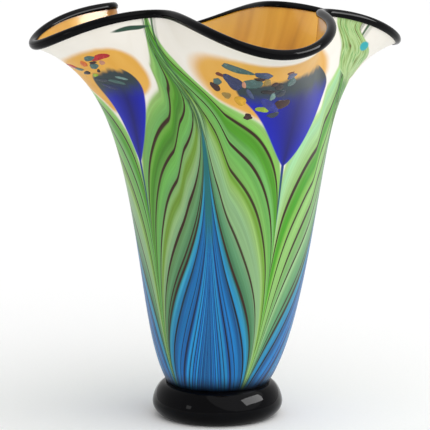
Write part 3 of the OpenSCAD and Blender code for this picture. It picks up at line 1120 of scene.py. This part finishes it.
        half_wide = w.line(swing, 0.069, 0.319)
        centre = w.line(swing, -0.021, 0.015)
        x = w.over(w.less(off, centre), half_wide)
        middle = w.line(off, 0.05, 0.878)
        half_high = w.line(off, -0.09, 0.082)
        y = w.over(w.less(level, middle), half_high)
        size = w.total(w.math("POWER", w.math("ABSOLUTE", x), self.halo_power),
                       w.math("POWER", w.math("ABSOLUTE", y), self.halo_power))
        halo = w.rise(w.total(size, w.times(soft, 0.4)), 1.2, 0.72)
        halo = w.times(halo, w.rise(flow, 3.02, 3.1))
        amber = w.mix(cloud, colour(*self.amber), colour(*self.amber_deep))
        shade = w.mix(halo, shade, amber)

        tall = w.over(w.less(level, 0.65), 0.2)
        tall = w.math("POWER", w.math("MAXIMUM", tall, 0.0), 0.8)
        wide = w.times(tall, w.line(swing, 0.107, 0.2225))
        cap = w.math("MAXIMUM", w.over(w.less(level, 0.835), 0.075), 0.0)
        cap = w.less(1.0, w.times(cap, cap), clamp=True)
        wide = w.math("MAXIMUM", w.times(wide, w.math("SQRT", cap)), self.tip_half_wide)
        centre = w.times(wide, w.line(swing, -0.053, 0.2325))
        side = w.math("ABSOLUTE", w.less(off, centre))
        inside = w.rise(w.less(side, wide), 0.006, -0.006)
        top = w.total(level, w.times(soft, 0.08))
        inside = w.times(inside, w.rise(level, 0.6, 0.66))
        drop = w.times(inside, w.rise(top, 0.905, 0.885))
        deep = w.mix(w.over(side, wide, clamp=True),
                     colour(*self.cobalt), colour(*self.cobalt_bright))
        body = w.mix(w.rise(top, 0.815, 0.865), deep, colour(*self.slate))
        return w.mix(drop, shade, body)


class Layer(Enum):
    """A layer of patterned glass, with its own material name."""

    CASING = "opal_glass"
    BLUE = "blue_glass"
    GREEN = "green_glass"
    COBALT = "cobalt_glass"
    HALO = "halo_glass"


@dataclass(frozen=True)
class PatternedGlass:
    """Satin glass that carries the combed pattern."""

    pattern: bpy.types.NodeTree
    mottle: bpy.types.NodeTree
    mottle_scale: float = 90.0
    trail_relief: float = 0.5
    ridge: float = 0.0001
    relief_strength: float = 0.5
    gloss: float = 0.3

    def make(self, layer: Layer) -> bpy.types.Material:
        """Makes the material of one layer."""
        material, w, shader = new_material(layer.value)
        where = w.add("ShaderNodeUVMap", uv_map=PATTERN_MAP)
        combed = place_group(w, self.pattern, Map=where.outputs[0])
        w.feed(shader.inputs["Base Color"], combed.outputs["Colour"])
        w.feed(shader.inputs["Roughness"], combed.outputs["Roughness"])
        mottle = w.mottle(self.mottle, w.spot(), self.mottle_scale)
        relief = w.line(combed.outputs["Height"], self.trail_relief, mottle)
        w.bump(shader, relief, self.ridge, self.relief_strength)
        w.feed(shader.inputs["Specular IOR Level"], self.gloss)
        return material


@dataclass(frozen=True)
class BlackGlass:
    """Polished black glass with faint waves in it."""

    mottle: bpy.types.NodeTree
    blacks: Stops = field(default_factory=lambda: [(0.6, (2, 2, 3)), (1.4, (6, 6, 9))])
    cloud_scale: float = 30.0
    cloud_depth: float = 2.0
    smear_scale: float = 18.0
    roughness: float = 0.05
    wave_scale: float = 45.0
    wave: float = 0.0006
    wave_strength: float = 0.4
    gloss: float = 0.08

    def make(self) -> bpy.types.Material:
        """Makes the material of the lip and the foot."""
        material, w, shader = new_material("black_glass")
        spot = w.spot()
        cloud = w.mottle(self.mottle, spot, self.cloud_scale, self.cloud_depth)
        w.feed(shader.inputs["Base Color"], w.ramp(cloud, 0.5, 1.5, self.blacks))
        smear = w.mottle(self.mottle, spot, self.smear_scale)
        w.feed(shader.inputs["Roughness"], w.times(smear, self.roughness))
        wave = w.mottle(self.mottle, spot, self.wave_scale)
        w.bump(shader, wave, self.wave, self.wave_strength)
        w.feed(shader.inputs["Specular IOR Level"], self.gloss)
        return material


@dataclass(frozen=True)
class AmberGlass:
    """Glossy amber glass with darker bands that run up the wall."""

    mottle: bpy.types.NodeTree
    bands: Stops = field(default_factory=lambda: [
        (0.3, (164, 108, 26)), (0.44, (214, 154, 44)), (0.58, (236, 180, 62)),
        (0.75, (248, 198, 86)),
    ])
    band_scale: float = 3.0
    band_climb: float = 0.35
    smear_scale: float = 30.0
    roughness: tuple[float, float] = (0.1, 0.08)
    wave: float = 0.0008
    wave_strength: float = 0.4

    def make(self) -> bpy.types.Material:
        """Makes the material of the lining."""
        material, w, shader = new_material("amber_glass")
        across, level, _ = w.parts(w.add("ShaderNodeUVMap", uv_map=PATTERN_MAP).outputs[0])
        ring = w.ring(across)
        up = w.vector(ring[0], ring[1], w.times(level, self.band_climb))
        cloud = w.noise(up, self.band_scale, 3.0)
        w.feed(shader.inputs["Base Color"], w.ramp(cloud, 0.0, 1.0, self.bands))
        smear = w.mottle(self.mottle, w.spot(), self.smear_scale)
        w.feed(shader.inputs["Roughness"], w.line(smear, *self.roughness))
        w.bump(shader, smear, self.wave, self.wave_strength)
        return material


class Frit(Enum):
    """A colour of crushed glass, as a display shows it."""

    BLACK = (28, 18, 22)
    MAROON = (58, 22, 18)
    BROWN = (112, 46, 22)
    RED = (190, 28, 30)
    PINK = (214, 150, 120)
    ORANGE = (222, 112, 36)
    YELLOW = (224, 168, 24)
    LIME = (158, 186, 48)
    TAN = (160, 132, 62)
    TEAL = (74, 108, 104)
    PALE_TEAL = (118, 152, 146)
    SLATE = (48, 58, 72)
    SLATE_BLUE = (70, 84, 122)
    NAVY = (42, 52, 98)
    BLUE = (36, 48, 148)


@dataclass(frozen=True)
class FritGlass:
    """Crushed glass of many colours, with each chip's colour in an attribute."""

    mottle: bpy.types.NodeTree
    cloud_scale: float = 260.0
    cloud_depth: float = 1.1
    brightness: float = 0.85
    roughness: float = 0.25

    def make(self) -> bpy.types.Material:
        """Makes the material of the chips."""
        material, w, shader = new_material("frit_glass")
        tone = w.add("ShaderNodeAttribute", attribute_name=TONE).outputs["Fac"]
        shades = w.ramp(tone, 0.0, float(len(Frit)), [
            (float(index), frit.value) for index, frit in enumerate(Frit)
        ])
        shades.node.color_ramp.interpolation = "CONSTANT"
        cloud = w.mottle(self.mottle, w.spot(), self.cloud_scale, self.cloud_depth)
        tint = w.add("ShaderNodeHueSaturation")
        w.feed(tint.inputs["Color"], shades)
        w.feed(tint.inputs["Value"], w.times(cloud, self.brightness))
        w.feed(shader.inputs["Base Color"], tint.outputs[0])
        w.feed(shader.inputs["Roughness"], w.times(cloud, self.roughness))
        return material


# --------------------------------------------------------------------------- pieces


@dataclass(frozen=True)
class FeatherPanels:
    """The slabs of coloured glass inlaid in the opal: feathers, halos and eyes."""

    wall: Wall = field(default_factory=Wall)

    def slab(
        self, name: str, turns: tuple[float, float], zones: tuple[Zone, Zone],
        glass: bpy.types.Material, cut: bool = False,
    ) -> None:
        """Builds one slab and dresses it.

        Args:
            name: Name of the node that it stands for.
            turns: First and last turn.
            zones: First and last zone of the pattern.
            glass: The slab's material.
            cut: Whether the cobalt lies in the middle of the slab.
        """
        rows = (first_row(zones[0]), first_row(zones[1]) + zones[1].rows)
        mesh = new_wall_mesh()
        self.wall.new_sheet(mesh, turns, rows)
        if cut:
            bmesh.ops.delete(mesh, geom=self.under_cobalt(mesh), context="FACES")
        self.wall.sink(mesh, mesh.faces[:], self.wall.feather_t)
        bmesh.ops.recalc_face_normals(mesh, faces=mesh.faces)
        write_pattern_map(mesh, len(self.wall.plan.eye_azimuths))
        piece = make_object(mesh, name + "_glass")
        smooth_along_wall(piece.data, self.wall)
        settle(piece, name, glass)

    def under_cobalt(self, mesh: bmesh.types.BMesh) -> list[bmesh.types.BMFace]:
        """Finds the faces of a sheet where the cobalt lies."""
        turn_layer = mesh.verts.layers.float[TURN]
        row_layer = mesh.verts.layers.float[ROW]
        top = first_row(Zone.HALO)
        found = []
        for face in mesh.faces:
            turns = np.array([vert[turn_layer] for vert in face.verts])
            rows = [vert[row_layer] for vert in face.verts]
            if max(rows) <= top and self.wall.plan.in_cobalt(turns).all():
                found.append(face)
        return found

    def build(self, glass: dict[Layer, bpy.types.Material]) -> None:
        """Builds every slab round the vase.

        Args:
            glass: The material of each layer.
        """
        cobalt = self.wall.plan.cobalt_reach / 2
        halo = self.wall.plan.halo_reach / 2
        for number in range(1, len(self.wall.plan.eye_azimuths) + 1):
            eye = number - 1
            self.slab(f"blue_feather_{number}", (eye, eye + 1),
                      (Zone.BLUE, Zone.BLUE), glass[Layer.BLUE])
            self.slab(f"green_feather_{number}", (eye - 0.5, eye + 0.5),
                      (Zone.GREEN, Zone.GREEN), glass[Layer.GREEN])
            self.slab(f"cobalt_eye_{number}", (eye - cobalt, eye + cobalt),
                      (Zone.COBALT, Zone.COBALT), glass[Layer.COBALT])
            self.slab(f"amber_halo_{number}", (eye - halo, eye + halo),
                      (Zone.COBALT, Zone.HALO), glass[Layer.HALO], cut=True)


@dataclass(frozen=True)
class OpalCasing:
    """The opal body, with shallow beds that hold the slabs of coloured glass."""

    wall: Wall = field(default_factory=Wall)
    inner_rows: int = 60

    def build(self, glass: bpy.types.Material) -> None:
        """Builds the casing and dresses it.

        Args:
            glass: The casing's material.
        """
        wall, eyes = self.wall, len(self.wall.plan.eye_azimuths)
        mesh = new_wall_mesh()
        last_row = first_row(Zone.COLLAR) + Zone.COLLAR.rows
        wall.new_sheet(mesh, (0, eyes), (0, last_row))
        bmesh.ops.remove_doubles(mesh, verts=mesh.verts, dist=MERGE_DISTANCE)
        beds = self.beds(mesh)
        wall.sink(mesh, beds, wall.feather_t)
        bmesh.ops.delete(mesh, geom=beds, context="FACES")
        level_layer = mesh.verts.layers.float[LEVEL]
        brim = [face for face in mesh.faces if not any(vert[level_layer] for vert in face.verts)]
        bmesh.ops.delete(mesh, geom=brim, context="FACES")
        outside = {edge for edge in mesh.edges if edge.is_boundary}
        floor = (wall.form.seat_z + wall.casing_t, 0.0)
        wall.new_inside(mesh, self.inner_rows, floor, wall.casing_t)
        close_layer(mesh, outside)
        write_pattern_map(mesh, eyes)
        piece = make_object(mesh, "opal_body")
        smooth_along_wall(piece.data, wall)
        settle(piece, "opal_casing", glass)

    def beds(self, mesh: bmesh.types.BMesh) -> list[bmesh.types.BMFace]:
        """Finds the faces where slabs lie in the casing."""
        plan = self.wall.plan
        turn_layer = mesh.verts.layers.float[TURN]
        row_layer = mesh.verts.layers.float[ROW]
        green_end, halo_end = first_row(Zone.COBALT), first_row(Zone.COLLAR)
        found = []
        for face in mesh.faces:
            top = max(vert[row_layer] for vert in face.verts)
            turns = np.array([vert[turn_layer] for vert in face.verts])
            if top <= green_end or (top <= halo_end and plan.in_halo(turns).all()):
                found.append(face)
        return found


@dataclass(frozen=True)
class AmberLining:
    """The amber glass inside the casing, with a rounded floor."""

    wall: Wall = field(default_factory=Wall)
    outer_rows: int = 60
    inner_rows: int = 90
    round_r: float = 0.009

    def build(self, glass: bpy.types.Material) -> None:
        """Builds the lining and dresses it.

        Args:
            glass: The lining's material.
        """
        wall = self.wall
        outer_floor = wall.form.seat_z + wall.casing_t
        mesh = new_wall_mesh()
        wall.new_inside(mesh, self.outer_rows, (outer_floor, 0.0), wall.casing_t)
        outside = {edge for edge in mesh.edges if edge.is_boundary}
        wall.new_inside(
            mesh, self.inner_rows, (outer_floor + 2 * wall.lining_t, self.round_r),
            wall.casing_t + wall.lining_t,
        )
        close_layer(mesh, outside)
        write_pattern_map(mesh, len(wall.plan.eye_azimuths))
        piece = make_object(mesh, "amber_inner_wall")
        smooth_along_wall(piece.data, wall)
        settle(piece, "amber_lining", glass)


@dataclass(frozen=True)
class LipWrap:
    """The black thread trailed on to the rim."""

    wall: Wall = field(default_factory=Wall)
    thickness: float = 0.0072
    sunk: float = 0.002
    segments: int = 512
    sides: int = 24
    uneven: float = 0.04
    crease: float = 40

    def build(self, glass: bpy.types.Material) -> None:
        """Builds the thread and dresses it.

        Args:
            glass: The thread's material.
        """
        mesh = bmesh.new()
        made = bmesh.ops.create_grid(
            mesh, x_segments=self.segments, y_segments=self.sides + 1, size=1.0
        )["verts"]
        place = (np.array([vert.co[:2] for vert in made]) + 1) / 2
        turn = np.round(place[:, 0] * self.segments) / self.segments
        step = np.round(place[:, 1] * (self.sides + 1)) % (self.sides + 1)
        for vert, point in zip(made, self.points(turn, step)):
            vert.co = point
        bmesh.ops.remove_doubles(mesh, verts=mesh.verts, dist=MERGE_DISTANCE)
        bmesh.ops.recalc_face_normals(mesh, faces=mesh.faces)
        for edge in mesh.edges:
            edge.smooth = edge.calc_face_angle(0) < math.radians(self.crease)
        settle(make_object(mesh, "lip_thread"), "lip_wrap", glass)

    def points(self, turn: np.ndarray, step: np.ndarray) -> np.ndarray:
        """Finds points on the thread.

        Args:
            turn: Share of the way round the rim.
            step: Place round the thread's section, whose flat side lies on the wall's end.

        Returns:
            One row of x, y and z for each point.
        """
        wall = self.wall
        form, eyes = wall.form, len(wall.plan.eye_azimuths)
        lip = np.full_like(turn, form.lip_z)
        azimuth = wall.plan.azimuth((turn * eyes) % eyes, np.ones_like(turn))
        out = form.outward(azimuth, lip)
        below = form.wall(azimuth, lip - form.slope_step)
        up = form.wall(azimuth, lip) - below
        up /= np.linalg.norm(up, axis=-1, keepdims=True)
        radius = self.thickness / 2
        swell = 1 + self.uneven * np.sin(math.tau * 3 * turn + 1) * np.sin(math.tau * 2 * turn)
        chord = math.acos(self.sunk / radius)
        around = chord + (math.tau - 2 * chord) * step / self.sides
        half_wall = (wall.casing_t + wall.lining_t) / 2
        middle = form.layer(azimuth, lip, np.full_like(turn, half_wall)) + self.sunk * up
        section = np.sin(around)[:, None] * out - np.cos(around)[:, None] * up
        flat_side = ((step == 0) | (step == self.sides))[:, None]
        return middle + radius * np.where(flat_side, 1.0, swell[:, None]) * section


@dataclass(frozen=True)
class Foot:
    """The solid black foot, gathered on to the bottom of the body."""

    base_r: float = 0.039
    widest_r: float = 0.0506
    belly_z: float = 0.0112
    top_z: float = 0.0266
    seat_gap: float = 0.0003
    lower_curve: float = 2.0
    upper_curve: float = 1.5
    steps: int = 20
    segments: int = 160
    crease: float = 50
    form: VaseForm = field(default_factory=VaseForm)

    def profile(self) -> list[tuple[float, float]]:
        """Gives the foot's outline from the middle of its underside to its seat.

        Returns:
            Radius and height of each point.
        """
        neck_r = float(self.form.radius(np.array(self.top_z))) + self.seat_gap
        seat_r = float(self.form.radius(np.array(self.form.seat_z))) + self.seat_gap
        points = [(0.0, 0.0)]
        for index in range(self.steps + 1):
            part = index / self.steps
            bulge = math.sqrt(1 - (1 - part) ** self.lower_curve)
            points.append((self.base_r + (self.widest_r - self.base_r) * bulge,
                           self.belly_z * part))
        for index in range(1, self.steps + 1):
            part = math.sin(math.pi / 2 * index / self.steps)
            bulge = math.sqrt(1 - min(part ** self.upper_curve, 1.0))
            points.append((neck_r + (self.widest_r - neck_r) * bulge,
                           self.belly_z + (self.top_z - self.belly_z) * part))
        return points + [(seat_r, self.form.seat_z), (0.0, self.form.seat_z)]

    def build(self, glass: bpy.types.Material) -> None:
        """Builds the foot and dresses it.

        Args:
            glass: The foot's material.
        """
        mesh = bmesh.new()
        verts = [mesh.verts.new((r, 0.0, z)) for r, z in self.profile()]
        edges = [mesh.edges.new(pair) for pair in zip(verts, verts[1:])]
        bmesh.ops.spin(
            mesh, geom=verts + edges, cent=(0, 0, 0), axis=(0, 0, 1), angle=math.tau,
            steps=self.segments, use_merge=True,
        )
        bmesh.ops.remove_doubles(mesh, verts=mesh.verts, dist=MERGE_DISTANCE)
        bmesh.ops.recalc_face_normals(mesh, faces=mesh.faces)
        for edge in mesh.edges:
            edge.smooth = edge.calc_face_angle(0) < math.radians(self.crease)
        settle(make_object(mesh, "black_foot"), "foot", glass)


@dataclass(frozen=True)
class Chip:
    """One chip of frit: where it lies from the eye's middle, its size and its lean."""

    turn: float
    up: float
    length: float
    width: float
    lean: float
    frit: Frit


@dataclass(frozen=True)
class FritChips:
    """The chips of coloured glass melted on to each eye."""

    wall: Wall = field(default_factory=Wall)
    middle_level: float = 0.875
    proud: float = 0.00035
    sunk: float = 0.00015
    subdivisions: int = 3
    broad: tuple[Chip, ...] = (
        Chip(-24, 15.5, 21, 5.5, -8, Frit.TEAL),
        Chip(-30, 8, 4.5, 3.5, 0, Frit.BROWN),
        Chip(-31, 2, 5.5, 5.5, -30, Frit.TEAL),
        Chip(-32, -2.5, 8, 5, -40, Frit.MAROON),
        Chip(-18, 5, 11.5, 9.5, -20, Frit.TEAL),
        Chip(-25, 4, 15, 9, -40, Frit.NAVY),
        Chip(-18.5, -4, 9.5, 3, -55, Frit.SLATE_BLUE),
        Chip(-15, 13.5, 12, 6, -10, Frit.SLATE_BLUE),
        Chip(-16, 9.5, 7.5, 3, -5, Frit.MAROON),
        Chip(-13, 7, 5, 6, 0, Frit.TAN),
        Chip(-5, 13.5, 6, 2.5, 0, Frit.BROWN),
        Chip(-3.5, 10, 8, 5.5, 0, Frit.SLATE_BLUE),
        Chip(-2, 4, 8.5, 6.5, 0, Frit.TEAL),
        Chip(-9.5, 4.5, 5, 4, 0, Frit.MAROON),
        Chip(-7.5, 2, 7.5, 6, 0, Frit.BLACK),
        Chip(-11.5, -2, 9, 4, 0, Frit.BLACK),
        Chip(-5.5, -5, 9, 4.5, 0, Frit.SLATE),
        Chip(-9, -6.5, 4, 6.5, 0, Frit.PALE_TEAL),
        Chip(-9.5, -14, 18, 7, -40, Frit.BLUE),
        Chip(-3.5, -14, 11, 9, 0, Frit.MAROON),
        Chip(-12.5, -17, 8.5, 5, -20, Frit.LIME),
        Chip(-7, -22, 10, 4, 0, Frit.SLATE),
        Chip(-18.5, -23, 6, 5, 0, Frit.MAROON),
        Chip(-22, -10.5, 8.5, 7, -40, Frit.YELLOW),
        Chip(-27.5, -7.5, 6, 5, 0, Frit.TAN),
        Chip(-21, 3.5, 3, 6.5, 0, Frit.PINK),
    )
    bright: tuple[Chip, ...] = (
        Chip(0.5, 16.5, 13.5, 4, -3, Frit.RED),
        Chip(-16, 15.5, 12, 4, -15, Frit.RED),
        Chip(-3.5, 17.5, 8.5, 4, -5, Frit.TEAL),
        Chip(-3.5, 14, 6, 2.2, 0, Frit.MAROON),
        Chip(-7.5, 15, 5.5, 5, 0, Frit.ORANGE),
        Chip(-13, 12.5, 11, 3, -20, Frit.TEAL),
        Chip(-4, 11.5, 7, 4.5, 0, Frit.TEAL),
        Chip(-3.5, 7.5, 3, 2.5, 0, Frit.MAROON),
        Chip(-10, 8, 7.5, 3, 0, Frit.BLACK),
        Chip(0, 12.5, 4, 3.5, 0, Frit.PINK),
        Chip(-6.5, 5, 5.5, 2.5, 0, Frit.LIME),
        Chip(-4.5, 0.5, 13, 2.5, -15, Frit.SLATE),
        Chip(2, -2.5, 15, 2.2, -20, Frit.TEAL),
        Chip(5, -0.5, 11, 1.6, -20, Frit.PALE_TEAL),
        Chip(-2, -5.5, 14, 2.5, -25, Frit.NAVY),
    )

    def build(self, glass: bpy.types.Material) -> None:
        """Builds the chips of every eye and dresses them.

        Args:
            glass: The chips' material.
        """
        random = np.random.default_rng(7)
        for eye, chips in enumerate((self.broad, self.bright, self.broad, self.bright)):
            mesh = bmesh.new()
            mesh.verts.layers.float.new(TONE)
            for chip in chips:
                self.melt(mesh, eye, chip, random)
            piece = make_object(mesh, f"frit_shards_{eye + 1}")
            settle(piece, f"frit_chips_{eye + 1}", glass)

    def melt(
        self, mesh: bmesh.types.BMesh, eye: int, chip: Chip, random: np.random.Generator
    ) -> None:
        """Adds one chip, as a flat rounded shard that follows the wall.

        Args:
            mesh: The mesh that takes the chip.
            eye: Number of the eye.
            chip: The chip.
            random: Draws the shard's outline.
        """
        plan, form = self.wall.plan, self.wall.form
        made = bmesh.ops.create_icosphere(
            mesh, subdivisions=self.subdivisions, radius=1.0
        )["verts"]
        ball = np.array([vert.co for vert in made])
        bearing = np.arctan2(ball[:, 1], ball[:, 0])
        outline = np.ones(len(made))
        for wave in (2, 3, 5):
            outline += random.uniform(-0.22, 0.22) / wave * 2 * np.sin(
                wave * bearing + random.uniform(0, math.tau)
            )
        x = ball[:, 0] * outline * chip.length * MM / 2
        y = ball[:, 1] * outline * chip.width * MM / 2
        lean = math.radians(chip.lean)
        right = x * math.cos(lean) - y * math.sin(lean)
        above = x * math.sin(lean) + y * math.cos(lean)
        z = form.height(np.array(self.middle_level)) + chip.up * MM + above
        eyes = np.full(len(made), eye)
        level = np.full(len(made), self.middle_level)
        girth = form.radius(z)
        azimuth = plan.eye_azimuth(eyes, level) + chip.turn + np.degrees(right / girth)
        rise = np.where(ball[:, 2] > 0, self.proud, self.sunk) * ball[:, 2]
        places = form.wall(azimuth, z) + rise[:, None] * form.outward(azimuth, z)
        tone_layer = mesh.verts.layers.float[TONE]
        tone = list(Frit).index(chip.frit) + 0.5
        for vert, place in zip(made, places):
            vert.co = place
            vert[tone_layer] = tone


# --------------------------------------------------------------------------- studio


@dataclass(frozen=True)
class Softbox:
    """A soft rectangular light that faces the vase."""

    name: str
    azimuth: float
    height: float
    distance: float
    size: tuple[float, float]
    power: float

    def place(self, aim: Vector) -> None:
        """Puts the light in the studio."""
        data = bpy.data.lights.new(self.name, "AREA")
        data.shape = "RECTANGLE"
        data.size, data.size_y = self.size
        data.energy = self.power
        light = bpy.data.objects.new(self.name, data)
        turn = math.radians(self.azimuth)
        light.location = (
            self.distance * math.sin(turn), -self.distance * math.cos(turn), self.height
        )
        light.rotation_euler = (aim - light.location).to_track_quat("-Z", "Y").to_euler()
        light.visible_diffuse = False
        bpy.context.scene.collection.objects.link(light)


@dataclass(frozen=True)
class Studio:
    """A pale floor, soft light and the camera."""

    camera_distance: float = 1.4
    camera_height: float = 0.34925
    aim_height: float = 0.15609
    focal_sides: float = 4.27163
    axis_offset: float = 0.005674
    sensor: float = 36.0
    floor_r: float = 60.0
    paper_grain: float = 400.0
    sky: float = 0.68
    sun: float = 1.5
    sun_spread: float = 90
    sun_azimuth: float = 50
    sun_elevation: float = 50
    boxes: tuple[Softbox, ...] = (
        Softbox("window_right", 74, 0.95, 1.5, (1.2, 0.7), 44),
        Softbox("fill_left", -52, 0.5, 1.8, (0.3, 0.3), 1.0),
    )

    def build(self) -> None:
        """Builds the studio."""
        aim = Vector((0, 0, self.aim_height))
        data = bpy.data.cameras.new("studio_camera")
        data.sensor_width = self.sensor
        data.lens = self.focal_sides * self.sensor
        data.shift_x = -self.axis_offset
        data.clip_end = 2 * self.floor_r
        camera = bpy.data.objects.new("studio_camera", data)
        camera.location = (0, -self.camera_distance, self.camera_height)
        camera.rotation_euler = (aim - camera.location).to_track_quat("-Z", "Y").to_euler()
        scene = bpy.context.scene
        scene.collection.objects.link(camera)
        scene.camera = camera
        scene.view_settings.view_transform = "Standard"
        for box in self.boxes:
            box.place(aim)
        self.hang_sun()
        world = bpy.data.worlds.new("soft_sky")
        world.use_nodes = True
        background = world.node_tree.nodes["Background"]
        background.inputs["Color"].default_value = (1, 1, 1, 1)
        background.inputs["Strength"].default_value = self.sky
        scene.world = world
        self.lay_floor()

    def hang_sun(self) -> None:
        """Hangs the broad soft light that shapes the vase."""
        data = bpy.data.lights.new("soft_sun", "SUN")
        data.energy = self.sun
        data.angle = math.radians(self.sun_spread)
        light = bpy.data.objects.new("soft_sun", data)
        turn, rise = math.radians(self.sun_azimuth), math.radians(self.sun_elevation)
        towards = Vector((
            math.sin(turn) * math.cos(rise), -math.cos(turn) * math.cos(rise), math.sin(rise)
        ))
        light.rotation_euler = towards.to_track_quat("Z", "Y").to_euler()
        bpy.context.scene.collection.objects.link(light)

    def lay_floor(self) -> None:
        """Lays the floor that the vase stands on."""
        mesh = bmesh.new()
        bmesh.ops.create_circle(mesh, cap_ends=True, segments=96, radius=self.floor_r)
        floor = make_object(mesh, "studio_floor")
        material, w, shader = new_material("pale_paper")
        grain = w.noise(w.spot(), self.paper_grain, 2.0)
        w.feed(shader.inputs["Base Color"], w.ramp(grain, 0.0, 1.0, [
            (0.3, (252, 252, 252)), (0.7, (254, 254, 254)),
        ]))
        w.feed(shader.inputs["Roughness"], 0.9)
        w.feed(shader.inputs["Specular IOR Level"], 0.1)
        floor.data.materials.append(material)


def main() -> None:
    """Builds the studio and the vase, and logs the faces of each piece."""
    logging.basicConfig(level=logging.INFO, format="%(name)s: %(message)s")
    Studio().build()
    mottle = build_mottle()
    patterned = PatternedGlass(CombedPattern().build(), mottle)
    glass = {layer: patterned.make(layer) for layer in Layer}
    black = BlackGlass(mottle).make()
    OpalCasing().build(glass[Layer.CASING])
    FeatherPanels().build(glass)
    AmberLining().build(AmberGlass(mottle).make())
    FritChips().build(FritGlass(mottle).make())
    LipWrap().build(black)
    Foot().build(black)


if __name__ == "__main__":
    main()
